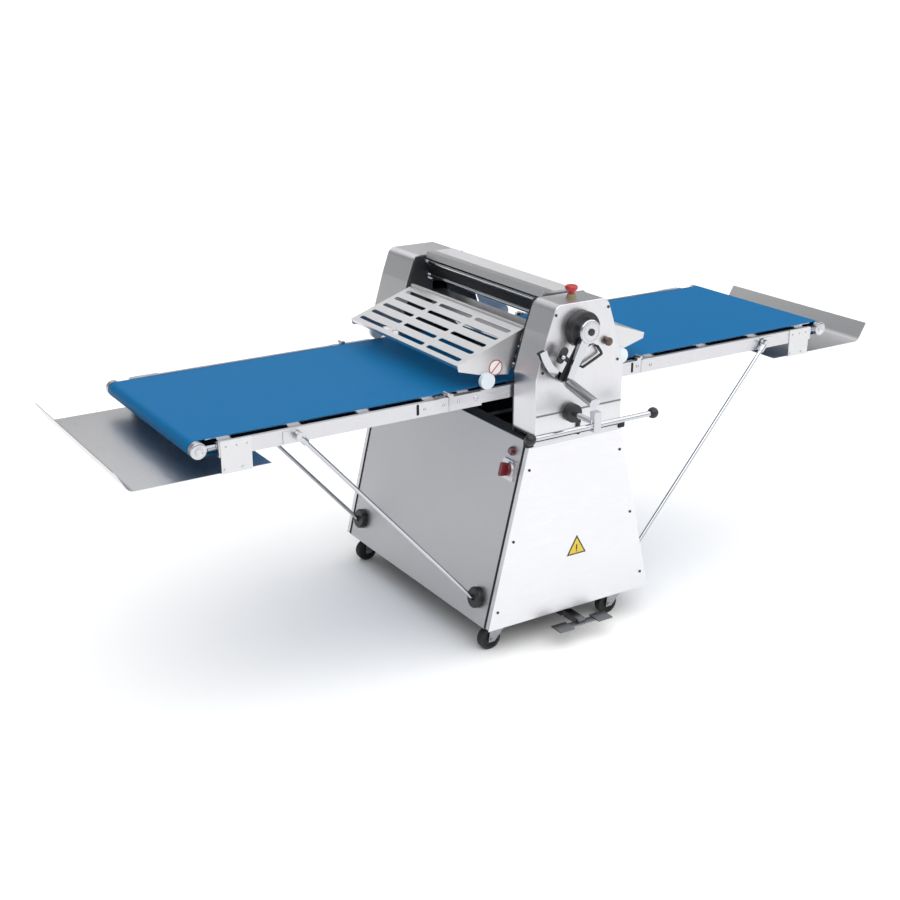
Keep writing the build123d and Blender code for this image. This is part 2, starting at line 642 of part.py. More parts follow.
def build_tray(side, sign):
    """The catch tray hung below a table's end, with its two bracket plates."""
    inner_x, outer_x = sorted(TRAY_BRACKET_X[side], key=abs)
    floor_in = inner_x - sign * TRAY_INNER_REACH
    bend_x = outer_x + sign * TRAY_OUTER_REACH
    rise = radians(TRAY_RISE)
    lip = (bend_x + sign * TRAY_LIP * cos(rise), TRAY_FLOOR + TRAY_LIP * sin(rise))
    with BuildPart() as tray:
        with BuildSketch(Plane.XZ.offset(-TRAY_HALF)):
            with BuildLine():
                FilletPolyline((floor_in, TRAY_FLOOR), (bend_x, TRAY_FLOOR), lip, radius=TRAY_BEND)
                offset(amount=TRAY_SHEET, side=Side.LEFT if sign == 1 else Side.RIGHT)
            make_face()
        extrude(amount=2 * TRAY_HALF)
        for y_side in (NEAR, FAR):
            low, high = sorted((inner_x, outer_x))
            block((low, high), facing(y_side, RAIL_OUT, RAIL_OUT + 3), (TRAY_FLOOR - 1, RAIL_TOP + 2))
            block((low, high), facing(y_side, TRAY_HALF - 1, RAIL_OUT), (TRAY_FLOOR - 1, TRAY_FLOOR + 1))
            for share in (0.16, 0.5, 0.84):
                hole_x = low + (high - low) * share
                across(3, hole_x, RAIL_TOP - 15, facing(y_side, RAIL_OUT - 1, RAIL_OUT + 4), Mode.SUBTRACT)
            for share in (0.12, 0.7):
                bolt_x = low + (high - low) * share
                across(4.5, bolt_x, TRAY_FLOOR + 10, facing(y_side, RAIL_OUT, RAIL_OUT + 6))
    save(tray, f"{side}_tray")


def build_braces(side, sign):
    """The pair of round struts that hold a table level."""
    foot_x = sign * (base_half(SOCKET_Z) + SOCKET_DEPTH * cos(LEAN_ANGLE) + BRACE_GAP)
    foot_z = SOCKET_Z + SOCKET_DEPTH * sin(LEAN_ANGLE)
    with BuildPart() as braces:
        for y_side in (NEAR, FAR):
            top = Vector(KNUCKLE_X[side], y_side * BRACE_TOP_Y, KNUCKLE_Z)
            foot = Vector(foot_x, y_side * BRACE_FOOT_Y, foot_z)
            along = (foot - top).normalized()
            rod(BRACE_RADIUS, top, foot - along * BRACE_RADIUS)
            with Locations(foot - along * BRACE_RADIUS):
                Sphere(BRACE_RADIUS)
            rod(BRACE_RADIUS + 4, top, top + along * BRACE_FERRULE)
            across(BRACE_EYE, top.X, top.Z, facing(y_side, RAIL_OUT + 4, BRACE_TOP_Y + 9))
            bore = facing(y_side, RAIL_OUT, BRACE_TOP_Y + 12)
            across(BRACE_PIN + RUNNING, top.X, top.Z, bore, Mode.SUBTRACT)
    save(braces, f"{side}_braces")


def build_sockets():
    """The four black cups on the leaning panels that receive the feet of the braces."""
    with BuildPart() as brace_sockets:
        for sign in SIDES.values():
            for y_side in (NEAR, FAR):
                with BuildSketch(panel_plane(sign, y_side * BRACE_FOOT_Y, SOCKET_Z)):
                    Circle(SOCKET_RADIUS)
                extrude(amount=SOCKET_DEPTH)
        fillet(brace_sockets.edges().filter_by(GeomType.CIRCLE).filter_by(is_outer_rim), 5)
        for sign in SIDES.values():
            for y_side in (NEAR, FAR):
                dimple = panel_plane(sign, y_side * BRACE_FOOT_Y, SOCKET_Z).offset(SOCKET_DEPTH)
                with Locations(dimple.origin):
                    Sphere(BRACE_RADIUS + 4, mode=Mode.SUBTRACT)
    save(brace_sockets, "brace_sockets")


def is_outer_rim(edge):
    """True for the socket rims that stand away from the panels."""
    centre = edge.arc_center
    return abs(centre.X) > base_half(centre.Z) + 2


# ---------------------------------------------------------------- controls

def beyond_arc(angle):
    """A sketch point well outside the quadrant's arc, in a direction from the lever's axis."""
    return (2 * QUADRANT * cos(angle), 2 * QUADRANT * sin(angle))


def build_gap_lever():
    """The roller-gap lever with its dial and quadrant, on the near cover."""
    dial_back = -HEAD_OUTER
    with BuildPart() as gap_quadrant:
        across(DIAL_RADIUS, LEVER_X, LEVER_Z, (dial_back - DIAL_DEPTH, dial_back))
        fillet(gap_quadrant.edges().filter_by(GeomType.CIRCLE).sort_by(Axis.Y)[0], 5)
        axis_plane = Plane(origin=(LEVER_X, dial_back - 14, LEVER_Z), x_dir=(1, 0, 0), z_dir=(0, -1, 0))
        with BuildSketch(axis_plane):
            Circle(QUADRANT + QUADRANT_BAR / 2)
            Circle(QUADRANT - QUADRANT_BAR / 2, mode=Mode.SUBTRACT)
            with BuildLine():
                Polyline((0, 0), beyond_arc(QUADRANT_LOW), beyond_arc(QUADRANT_HIGH), close=True)
            make_face(mode=Mode.INTERSECT)
        extrude(amount=12)
        for angle in (QUADRANT_LOW + 0.08, QUADRANT_HIGH - 0.08):
            x = LEVER_X + QUADRANT * cos(angle)
            z = LEVER_Z + QUADRANT * sin(angle)
            across(5, x, z, (dial_back - 16, dial_back))
        bore = (dial_back - DIAL_DEPTH - 1, dial_back + 1)
        across(LEVER_SHAFT + 0.5, LEVER_X, LEVER_Z, bore, Mode.SUBTRACT)
    save(gap_quadrant, "gap_quadrant")

    hub_y = (dial_back - DIAL_DEPTH - HUB_DEPTH - 0.5, dial_back - DIAL_DEPTH - 0.5)
    arm_dir = Vector(-sin(LEVER_LEAN), 0, -cos(LEVER_LEAN))
    arm_end = Vector(LEVER_X, 0, LEVER_Z) + arm_dir * LEVER_ARM
    side_dir = Vector(cos(LEVER_LEAN), 0, -sin(LEVER_LEAN))
    arm_y = (hub_y[0] + 4, hub_y[0] + 4 + ARM_SHEET)
    with BuildPart() as gap_lever:
        across(HUB_RADIUS, LEVER_X, LEVER_Z, hub_y)
        fillet(gap_lever.edges().filter_by(GeomType.CIRCLE).sort_by(Axis.Y)[0], 4)
        hub = Vector(LEVER_X, 0, LEVER_Z)
        corners = [
            hub + side_dir * ARM_ROOT,
            arm_end + side_dir * ARM_TIP,
            arm_end - side_dir * ARM_TIP,
            hub - side_dir * ARM_ROOT,
        ]
        section([(corner.X, corner.Z) for corner in corners], arm_y)
        across(ARM_TIP, arm_end.X, arm_end.Z, arm_y)
        across(LEVER_SHAFT, LEVER_X, LEVER_Z, (hub_y[1], -HEAD_OUTER + 14))
        across(9, LEVER_X, LEVER_Z, (hub_y[0] - 5, hub_y[0]))
        across(HANDLE_PIN, arm_end.X, arm_end.Z, (arm_y[0] - 10, arm_y[0]))
    save(gap_lever, "gap_lever")

    outward = Vector(0, -cos(GRIP_TILT), 0) + arm_dir * sin(GRIP_TILT)
    root = Vector(arm_end.X, arm_y[0] - 2, arm_end.Z)
    with BuildPart() as gap_grip:
        rod(GRIP_RADIUS, root, root + outward * GRIP_LENGTH)
        fillet(gap_grip.edges().filter_by(GeomType.CIRCLE), 5)
        beside_x = (arm_end.X - 40, arm_end.X + 40)
        beside_z = (arm_end.Z - 40, arm_end.Z + 40)
        block(beside_x, (arm_y[0] - 0.2, arm_y[0] + ARM_SHEET), beside_z, Mode.SUBTRACT)
        bore = (arm_y[0] - 10.2, arm_y[0] + 1)
        across(HANDLE_PIN + RUNNING, arm_end.X, arm_end.Z, bore, Mode.SUBTRACT)
    save(gap_grip, "gap_grip")


def build_direction_lever():
    """The long rocker bar that starts and reverses the belts, with its bearing boss."""
    with BuildPart() as direction_bracket:
        across(BOSS_RADIUS, PIVOT_X, PIVOT_Z, (-HEAD_OUTER - BOSS_DEPTH, -HEAD_OUTER))
        fillet(direction_bracket.edges().filter_by(GeomType.CIRCLE).sort_by(Axis.Y)[0], 4)
        bore = (-HEAD_OUTER - BOSS_DEPTH - 1, -HEAD_OUTER + 1)
        across(BAR_SHAFT + RUNNING, PIVOT_X, PIVOT_Z, bore, Mode.SUBTRACT)
    save(direction_bracket, "direction_bracket")

    with BuildPart() as direction_bar:
        across(BAR_SHAFT, PIVOT_X, PIVOT_Z, (BAR_Y, -HEAD_OUTER + 14))
        block((BAR_X - 13, BAR_X + 13), (BAR_Y - 13, BAR_Y + 13), (BAR_Z - 18, BAR_Z + 44))
        fillet(direction_bar.edges().filter_by(Axis.Z), 3)
        rod(BAR_RADIUS, (BAR_X - BAR_LEFT, BAR_Y, BAR_Z), (BAR_X + BAR_RIGHT, BAR_Y, BAR_Z))
    save(direction_bar, "direction_bar")

    with BuildPart() as direction_knobs:
        for end, outward in ((BAR_X - BAR_LEFT, -1), (BAR_X + BAR_RIGHT, 1)):
            with Locations((end + outward * BALL_RADIUS * 0.4, BAR_Y, BAR_Z)):
                Sphere(BALL_RADIUS)
            bore_end = (end + outward * 0.1, BAR_Y, BAR_Z)
            rod(BAR_RADIUS + RUNNING, (BAR_X, BAR_Y, BAR_Z), bore_end, Mode.SUBTRACT)
    save(direction_knobs, "direction_knobs")

    with BuildPart() as foot_pedal:
        across(PEDAL_SHAFT, PEDAL_X, PEDAL_Z, (-505, -372))
        block((PEDAL_X - PEDAL_SPREAD, PEDAL_X + PEDAL_SPREAD), (-516, -494), (PEDAL_Z - 8, PEDAL_Z - 2))
        block((PEDAL_X - 14, PEDAL_X + 14), (-510, -432), (PEDAL_Z - 12, PEDAL_Z + 10))
        for sign in (-1, 1):
            tread_x = PEDAL_X + sign * PEDAL_SPREAD
            block((tread_x - 28, tread_x + 28), (-538, -486), (PEDAL_Z - 3, PEDAL_Z + 1))
    save(foot_pedal, "foot_pedal")


def build_switches():
    """The mains switch, the pilot lamp and the emergency stop."""
    turn_plane = panel_plane(-1, PANEL_CONTROL_Y, SWITCH_Z)
    with BuildPart() as switch_plate:
        with BuildSketch(turn_plane):
            RectangleRounded(64, 62, 4)
        extrude(amount=5)
        with BuildSketch(turn_plane.offset(5)):
            Circle(25)
        extrude(amount=4)
    save(switch_plate, "switch_plate")

    with BuildPart() as switch_knob:
        with BuildSketch(turn_plane.offset(9.4)):
            Circle(20)
        extrude(amount=8)
        with BuildSketch(turn_plane.offset(17.4)):
            SlotOverall(44, 14, rotation=90)
        extrude(amount=16)
    save(switch_knob, "switch_knob")

    lamp_plane = panel_plane(-1, PANEL_CONTROL_Y, LAMP_Z)
    with BuildPart() as pilot_lamp:
        with BuildSketch(lamp_plane):
            Circle(15)
        extrude(amount=5)
        with BuildSketch(lamp_plane.offset(5)):
            Circle(12)
        extrude(amount=9, taper=12)
        fillet(pilot_lamp.faces().sort_by(Axis.X)[0].edges(), 2)
    save(pilot_lamp, "pilot_lamp")

    with BuildPart() as estop_base:
        upright(15.5, HEAD_X, ESTOP_Y, (HEAD_TOP, HEAD_TOP + 4))
        upright(12.5, HEAD_X, ESTOP_Y, (HEAD_TOP + 4, HEAD_TOP + 12))
        upright(9.1, HEAD_X, ESTOP_Y, (HEAD_TOP + 3, HEAD_TOP + 13), Mode.SUBTRACT)
    save(estop_base, "estop_base")

    with BuildPart() as estop_button:
        upright(20, HEAD_X, ESTOP_Y, (HEAD_TOP + 29, HEAD_TOP + 39))
        fillet(estop_button.edges().sort_by(Axis.Z)[-1], 7)
        with Locations((HEAD_X, ESTOP_Y, HEAD_TOP + 23.5)):
            Cone(12, 20, 11)
        upright(9, HEAD_X, ESTOP_Y, (HEAD_TOP + 8, HEAD_TOP + 18))
    save(estop_button, "estop_button")


# ---------------------------------------------------------------- casters and drive

def build_casters():
    """Four swivel casters: plates on the floor sheet, forks and wheels."""
    corners = {
        "front_left": (-CASTER_X, -CASTER_Y),
        "front_right": (CASTER_X, -CASTER_Y),
        "rear_left": (-CASTER_X, CASTER_Y),
        "rear_right": (CASTER_X, CASTER_Y),
    }
    with BuildPart() as caster_plates:
        for x, y in corners.values():
            block((x - 42, x + 42), (y - 32, y + 32), (BASE_BOTTOM - 4, BASE_BOTTOM))
            upright(27, x, y, (BASE_BOTTOM - 10, BASE_BOTTOM - 4))
            upright(KINGPIN + RUNNING, x, y, (BASE_BOTTOM - 12, BASE_BOTTOM - 3), Mode.SUBTRACT)
    save(caster_plates, "caster_plates")

    for corner, (x, y) in corners.items():
        axle_x = x - CASTER_TRAIL
        crown = (BASE_BOTTOM - 14, BASE_BOTTOM - 10.4)
        with BuildPart() as fork:
            upright(25, x, y, crown)
            block((axle_x, x), (y - 20, y + 20), crown)
            for y_side in (NEAR, FAR):
                section(
                    [
                        (x + 18, crown[0] + 1),
                        (axle_x - 6, crown[0] + 1),
                        (axle_x - 11, WHEEL_RADIUS - 9),
                        (axle_x + 11, WHEEL_RADIUS - 9),
                    ],
                    (y + y_side * 16, y + y_side * 19),
                )
            upright(KINGPIN, x, y, (BASE_BOTTOM - 12, BASE_BOTTOM - 3.5))
            across(AXLE, axle_x, WHEEL_RADIUS, (y - 22, y + 22))
        save(fork, f"caster_fork_{corner}")

        with BuildPart() as wheel:
            across(WHEEL_RADIUS, axle_x, WHEEL_RADIUS, (y - WHEEL_HALF, y + WHEEL_HALF))
            fillet(wheel.edges().filter_by(GeomType.CIRCLE), 4)
            for y_side in (NEAR, FAR):
                outer = y + y_side * WHEEL_HALF
                across(WHEEL_RADIUS - 11, axle_x, WHEEL_RADIUS, (outer, outer - y_side * 4), Mode.SUBTRACT)
            across(12, axle_x, WHEEL_RADIUS, (y - WHEEL_HALF - 1, y + WHEEL_HALF + 1))
            across(AXLE + RUNNING, axle_x, WHEEL_RADIUS, (y - 20, y + 20), Mode.SUBTRACT)
        save(wheel, f"caster_wheel_{corner}")


def build_motor():
    """The geared motor on the pedestal's floor."""
    floor = BASE_BOTTOM + FLOOR_SHEET
    axis_z = floor + 90
    with BuildPart() as drive_motor:
        across(68, 0, axis_z, (-210, 40))
        fillet(drive_motor.edges().filter_by(GeomType.CIRCLE), 8)
        block((-60, 60), (40, 150), (axis_z - 76, axis_z + 76))
        across(12, 0, axis_z + 30, (150, 205))
        across(40, 0, axis_z + 30, (180, 196))
        for y in (-150, 0, 110):
            block((-72, 72), (y - 15, y + 15), (floor, axis_z - 40))
        block((40, 80), (-120, -20), (axis_z + 10, axis_z + 66))
    save(drive_motor, "drive_motor")


def main():
    """Build every piece of the machine."""
    os.makedirs("parts", exist_ok=True)
    build_base()
    build_head()
    build_rolls()
    build_guards()
    for side, sign in SIDES.items():
        build_inner_table(side, sign)
        build_outer_table(side, sign)
        build_tray(side, sign)
        build_braces(side, sign)
    build_sockets()
    build_gap_lever()
    build_direction_lever()
    build_switches()
    build_casters()
    build_motor()


main()
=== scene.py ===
import json
import logging
import math
from dataclasses import dataclass, field
from enum import Enum

import bpy
import numpy as np
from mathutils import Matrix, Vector


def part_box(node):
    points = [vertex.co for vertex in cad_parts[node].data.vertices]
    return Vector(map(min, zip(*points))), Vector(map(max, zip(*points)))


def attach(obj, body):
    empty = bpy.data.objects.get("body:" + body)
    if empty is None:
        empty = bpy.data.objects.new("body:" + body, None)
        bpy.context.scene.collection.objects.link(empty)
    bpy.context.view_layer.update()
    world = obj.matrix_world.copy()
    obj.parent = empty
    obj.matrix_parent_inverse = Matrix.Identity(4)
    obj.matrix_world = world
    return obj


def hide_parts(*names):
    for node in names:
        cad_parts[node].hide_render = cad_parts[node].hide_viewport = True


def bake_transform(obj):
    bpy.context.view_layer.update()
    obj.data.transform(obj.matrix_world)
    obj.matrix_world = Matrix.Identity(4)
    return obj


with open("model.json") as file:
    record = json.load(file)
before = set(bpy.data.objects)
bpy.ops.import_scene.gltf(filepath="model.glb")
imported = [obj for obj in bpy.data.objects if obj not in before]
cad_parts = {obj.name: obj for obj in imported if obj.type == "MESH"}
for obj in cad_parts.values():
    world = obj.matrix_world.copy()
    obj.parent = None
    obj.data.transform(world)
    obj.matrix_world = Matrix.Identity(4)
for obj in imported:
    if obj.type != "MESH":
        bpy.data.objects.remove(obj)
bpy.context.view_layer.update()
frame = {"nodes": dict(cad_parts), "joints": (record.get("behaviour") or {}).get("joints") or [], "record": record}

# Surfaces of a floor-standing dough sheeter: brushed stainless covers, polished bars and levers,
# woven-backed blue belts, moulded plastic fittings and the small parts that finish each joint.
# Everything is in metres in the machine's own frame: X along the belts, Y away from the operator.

log = logging.getLogger("dough_sheeter")
MM = 0.001
# The machine's directions: along the belts, towards the operator, and up.
ALONG = (1, 0, 0)
FRONT = (0, -1, 0)
UP = (0, 0, 1)
# The wave node's own period at scale 1, in metres.
WAVE_TURN = 0.314


# ---------------------------------------------------------------- colour and nodes

def linear(code: str) -> tuple:
    """Turns an sRGB hex code into a linear colour.

    Args:
        code: six hex digits, with or without a leading #.
    Returns:
        Red, green, blue and alpha, linear, each from 0 to 1.
    """
    digits = code.lstrip("#")
    shares = np.array([int(digits[k : k + 2], 16) for k in (0, 2, 4)]) / 255
    curve = np.where(shares <= 0.04045, shares / 12.92, ((shares + 0.055) / 1.055) ** 2.4)
    return (*curve.tolist(), 1.0)


def add(tree: bpy.types.NodeTree, kind: str, wires: dict | None = None, **settings) -> bpy.types.Node:
    """Adds one node with its settings and its inputs.

    Args:
        tree: the node tree that gets the node.
        kind: the node's type name.
        wires: input name or number to a value, or to the output socket that feeds it.
        settings: the node's own attributes.
    Returns:
        The new node.
    """
    node = tree.nodes.new(kind)
    for key, value in settings.items():
        setattr(node, key, value)
    for key, value in (wires or {}).items():
        socket = node.inputs[key]
        if isinstance(value, bpy.types.NodeSocket):
            tree.links.new(value, socket)
        else:
            socket.default_value = value
    return node


class Grain(Enum):
    """The direction in which a sheet was brushed: how much finer the pattern is along X, Y and Z."""

    ALONG_X = (0.02, 1.0, 1.0)
    ALONG_Y = (1.0, 0.02, 1.0)
    ALONG_Z = (1.0, 1.0, 0.02)
    NONE = (1.0, 1.0, 1.0)


class Place(Enum):
    """What a pattern follows: the machine's own millimetres, or the piece's unrolled surface."""

    OBJECT = "Object"
    SURFACE = "UV"


@dataclass(frozen=True)
class Finish:
    """A surface finish with a fine pattern and a broad, faint unevenness.

    colour and shade are the two ends of the pattern, and pattern is its size in millimetres. relief sets
    the pattern's depth, in millimetres, and spread is how far the roughness strays either way. patches is
    the size of the broad unevenness, in millimetres, and mottle is its share of the colour.
    """

    name: str
    colour: str
    shade: str
    roughness: float
    metallic: float = 0.0
    pattern: float = 1.0
    relief: float = 0.02
    spread: float = 0.06
    grain: Grain = Grain.NONE
    coat: float = 0.0
    sheen: float = 0.0
    patches: float = 180.0
    mottle: float = 0.15
    specular: float = 0.5

    def fine(self, tree: bpy.types.NodeTree, coordinates: bpy.types.NodeSocket) -> bpy.types.NodeSocket:
        """The fine pattern's height.

        Args:
            tree: the material's node tree.
            coordinates: where the pattern is read, in metres.
        Returns:
            A socket that gives the height, from 0 to 1.
        """
        stretched = add(tree, "ShaderNodeMapping", {"Vector": coordinates, "Scale": self.grain.value})
        noise = add(
            tree,
            "ShaderNodeTexNoise",
            {"Vector": stretched.outputs[0], "Scale": 1 / (self.pattern * MM), "Detail": 3.0},
        )
        return noise.outputs["Fac"]

    def place(self) -> Place:
        """What the pattern follows on this finish."""
        return Place.OBJECT

    def material(self) -> bpy.types.Material:
        """Builds the finish as a material.

        Returns:
            The new material, or the one already made with this finish's name.
        """
        made = bpy.data.materials.get(self.name)
        if made:
            return made
        made = bpy.data.materials.new(self.name)
        made.use_nodes = True
        tree = made.node_tree
        tree.nodes.clear()
        coordinates = add(tree, "ShaderNodeTexCoord").outputs[self.place().value]
        fine = self.fine(tree, coordinates)
        broad = add(
            tree,
            "ShaderNodeTexNoise",
            {"Vector": coordinates, "Scale": 1 / (self.patches * MM), "Detail": 2.0},
        ).outputs["Fac"]
        blotches = add(tree, "ShaderNodeMath", {0: broad, 1: self.mottle}, operation="MULTIPLY").outputs[0]
        wires = {0: fine, 1: 1 - self.mottle, 2: blotches}
        both = add(tree, "ShaderNodeMath", wires, operation="MULTIPLY_ADD")
        tone = add(
            tree,
            "ShaderNodeMix",
            {"Factor": both.outputs[0], "A": linear(self.colour), "B": linear(self.shade)},
            data_type="RGBA",
        )
        gloss = add(
            tree,
            "ShaderNodeMapRange",
            {
                "Value": both.outputs[0],
                "From Min": 0.3,
                "From Max": 0.7,
                "To Min": max(0.02, self.roughness - self.spread),
                "To Max": min(1.0, self.roughness + self.spread),
            },
        )
        bump = add(
            tree,
            "ShaderNodeBump",
            {"Strength": 0.5, "Distance": self.relief * MM, "Height": fine},
        )
        shader = add(
            tree,
            "ShaderNodeBsdfPrincipled",
            {
                "Base Color": tone.outputs["Result"],
                "Roughness": gloss.outputs["Result"],
                "Metallic": self.metallic,
                "Normal": bump.outputs["Normal"],
                "Coat Weight": self.coat,
                "Sheen Weight": self.sheen,
                "Specular IOR Level": self.specular,
            },
        )
        add(tree, "ShaderNodeOutputMaterial", {"Surface": shader.outputs[0]})
        return made


@dataclass(frozen=True)
class Woven(Finish):
    """A coated belt whose backing shows as a fine cross weave: two crossed waves, one for each thread."""

    def place(self) -> Place:
        """The weave follows the belt round its rollers."""
        return Place.SURFACE

    def fine(self, tree: bpy.types.NodeTree, coordinates: bpy.types.NodeSocket) -> bpy.types.NodeSocket:
        """The weave's height: the mean of one wave along the belt and one across it.

        Args:
            tree: the material's node tree.
            coordinates: the belt's unrolled surface, in metres.
        Returns:
            A socket that gives the height, from 0 to 1.
        """
        waves = [
            add(
                tree,
                "ShaderNodeTexWave",
                {
                    "Vector": coordinates,
                    "Scale": WAVE_TURN / (self.pattern * MM),
                    "Distortion": 0.4,
                    "Detail": 1.0,
                },
                bands_direction=direction,
            ).outputs["Fac"]
            for direction in ("X", "Y")
        ]
        total = add(tree, "ShaderNodeMath", {0: waves[0], 1: waves[1]}, operation="ADD")
        return add(tree, "ShaderNodeMath", {0: total.outputs[0], 1: 0.5}, operation="MULTIPLY").outputs[0]


# Stainless sheet brushed lengthways: soft streaks, bright where it faces the lamps. The real grain is
# finer than a tenth of a millimetre and is drawn coarser so that it shows.
SHEET_X = Finish("stainless_sheet_brushed_x", "#E4E4E6", "#DADADD", 0.34, 1.0, 1.2, 0.02, 0.07, Grain.ALONG_X)
SHEET_Y = Finish("stainless_sheet_brushed_y", "#DCDCDD", "#C6C6C8", 0.34, 1.0, 1.2, 0.02, 0.07, Grain.ALONG_Y)
SHEET_Z = Finish("stainless_sheet_brushed_z", "#DADADC", "#CFCFD2", 0.36, 1.0, 1.2, 0.02, 0.07, Grain.ALONG_Z)
# Leaning side panels: the same sheet painted darker, as painted shade for the dim reflection the leaning faces
# catch; duller, even grain.
SHADED_PANEL = Finish("stainless_panel_dull", "#C6C6C8", "#BBBBBE", 0.46, 1.0, 1.2, 0.015, 0.04, Grain.ALONG_Z)
# Painted shadow along the near head cover's seam: a greyer, rougher strip of the sheet that stands in for the
# seam's shadow line.
SEAM_SHADOW = Finish("stainless_fold_worn", "#8E8E91", "#7D7D80", 0.52, 1.0, 1.0, 0.03, 0.05, Grain.ALONG_X)
# Satin rail steel: finer and brighter than the covers; the hub's disc and the top flange share it.
RAIL = Finish("stainless_rail_satin", "#D2D2D5", "#C2C2C6", 0.31, 1.0, 0.9, 0.015, 0.05, Grain.ALONG_X)
# Polished chrome plate: a near mirror with the faintest smear from wiping.
CHROME = Finish("chrome_plate_polished", "#C8CACE", "#BABCC0", 0.10, 1.0, 2.5, 0.004, 0.04)
# Turned aluminium grip: fine rings across a dull grey.
GRIP = Finish("aluminium_grip_turned", "#A3A4A6", "#8B8C8F", 0.38, 1.0, 0.9, 0.03, 0.06, Grain.ALONG_Z)
# Ground steel of the foot pedal: grey and streaky.
GROUND = Finish("tool_steel_ground", "#7E7F82", "#606165", 0.33, 1.0, 1.0, 0.03, 0.08, Grain.ALONG_Z)
# Blue polyurethane belt on a woven backing; the 1 mm weave is drawn at 2.4 mm so that it shows.
BELT = Woven(
    "polyurethane_belt_woven", "#00679C", "#005D90", 0.52, 0.0, 2.4, 0.10, 0.05, patches=240.0, specular=0.12
)
# Moulded black nylon and ABS: a low gloss over fine mould grain.
BLACK = Finish("black_nylon_moulded", "#121214", "#1B1B1E", 0.36, 0.0, 0.7, 0.03, 0.06)
# Black rubber extrusion: matt, slightly greyed where dust holds.
SEAL = Finish("black_rubber_extruded", "#101012", "#1C1C1E", 0.72, 0.0, 1.4, 0.05, 0.08)
# Caster tread: matt grey-black rubber with scuffs.
TREAD = Finish("caster_rubber_moulded", "#1A1A1B", "#2E2E2F", 0.78, 0.0, 1.8, 0.12, 0.08, patches=25.0)
# Charcoal enamel on the side plates, the deck and small screws: satin with faint orange peel.
CHARCOAL = Finish("charcoal_enamel_sprayed", "#242527", "#1B1C1E", 0.45, 0.0, 2.2, 0.05, 0.06)
# Red button cap: glossy moulded plastic.
RED = Finish("red_abs_moulded", "#B5141C", "#9E1018", 0.30, 0.0, 0.8, 0.02, 0.05, coat=0.3)
# Dark red switch handle.
DARK_RED = Finish("dark_red_abs_moulded", "#6E1722", "#5A101A", 0.34, 0.0, 0.8, 0.02, 0.05, coat=0.2)
# Tinted lamp lens, unlit: deep and glossy.
LENS = Finish("tinted_lens_moulded", "#5B1020", "#420914", 0.12, 0.0, 1.5, 0.01, 0.03, coat=0.8)
# Yellow collar under the emergency stop, dulled.
YELLOW = Finish("yellow_abs_moulded", "#8F8866", "#7D7656", 0.42, 0.0, 0.8, 0.02, 0.05)
# Natural nylon stops: milky, turned.
NYLON = Finish("natural_nylon_turned", "#DCE4EA", "#CBD5DD", 0.40, 0.0, 0.6, 0.02, 0.05, coat=0.1)
# Zinc plate: grey metal with a cloudy spangle.
ZINC = Finish("zinc_plate_bright", "#A9ABAE", "#8C8E92", 0.38, 1.0, 6.0, 0.02, 0.10, patches=18.0)
# Motor enamel: thick grey paint over a casting.
MOTOR = Finish("grey_enamel_cast", "#5B6065", "#4C5156", 0.50, 0.0, 3.0, 0.12, 0.06)
# Painted shade: flat black sheets laid where a slot or gap shows only its unlit inside.
RECESS_SHADE = Finish("recess_black_matt", "#0A0A0B", "#141416", 0.85, 0.0, 2.0, 0.02, 0.05)
# Brown phenolic knob: hard, mottled and half glossy.
PHENOLIC = Finish("brown_phenolic_pressed", "#5E4636", "#4A3629", 0.35, 0.0, 1.5, 0.02, 0.06, coat=0.2)
# Vinyl stickers: flat printed film.
VINYL_WHITE = Finish("white_vinyl_film", "#EDE6E4", "#E2DAD8", 0.45, 0.0, 2.0, 0.005, 0.04)
VINYL_RED = Finish("red_vinyl_film", "#A8545A", "#98484E", 0.45, 0.0, 2.0, 0.005, 0.04)
VINYL_YELLOW = Finish("yellow_vinyl_film", "#D8BE3C", "#CBB030", 0.45, 0.0, 2.0, 0.005, 0.04)

SLOT_FINISH = {
    "brushed_steel": SHEET_Y,
    "rail_steel": RAIL,
    "polished_chrome": CHROME,
    "lever_grip": GRIP,
    "blue_belt": BELT,
    "black_plastic": BLACK,
    "dark_metal": CHARCOAL,
    "pedal_steel": GROUND,
    "red_plastic": RED,
    "lamp_lens": LENS,
    "switch_grey": DARK_RED,
    "yellow_plastic": YELLOW,
    "nylon": NYLON,
    "zinc_plate": ZINC,
    "caster_rubber": TREAD,
    "motor_grey": MOTOR,
}
NODE_FINISH = {
    "front_cover": SHEET_X,
    "rear_cover": SHEET_X,
    "head_cover_near": SHEET_Z,
    "head_cover_far": SHEET_Z,
    "side_plates": CHARCOAL,
    "base_plates": CHARCOAL,
    "switch_knob": DARK_RED,
    "switch_plate": SHEET_Z,
    "gap_quadrant": BLACK,
    "cover_screws": CHARCOAL,
    # The leaning panels take the darker copy of the sheet: painted shade.
    "left_panel": SHADED_PANEL,
    "right_panel": SHADED_PANEL,
    "upper_carriage": SHEET_Y,
}


# ---------------------------------------------------------------- shapes

def to_object(name: str, points: np.ndarray, faces: list, smooth: float = 30.0) -> bpy.types.Object:
    """Makes a mesh object at the origin and shades it smooth up to an angle.

    Args:
        name: the piece's name.
        points: one row per vertex, in metres.
        faces: lists of vertex numbers.
        smooth: the sharpest bend still shaded smooth, in degrees.
    Returns:
        The linked object.
    """
    mesh = bpy.data.meshes.new(name)
    mesh.from_pydata(points.reshape(-1, 3).tolist(), [], faces)
    mesh.validate()
    mesh.update()
    mesh.shade_smooth()
    mesh.set_sharp_from_angle(angle=math.radians(smooth))
    piece = bpy.data.objects.new(name, mesh)
    bpy.context.scene.collection.objects.link(piece)
    return piece


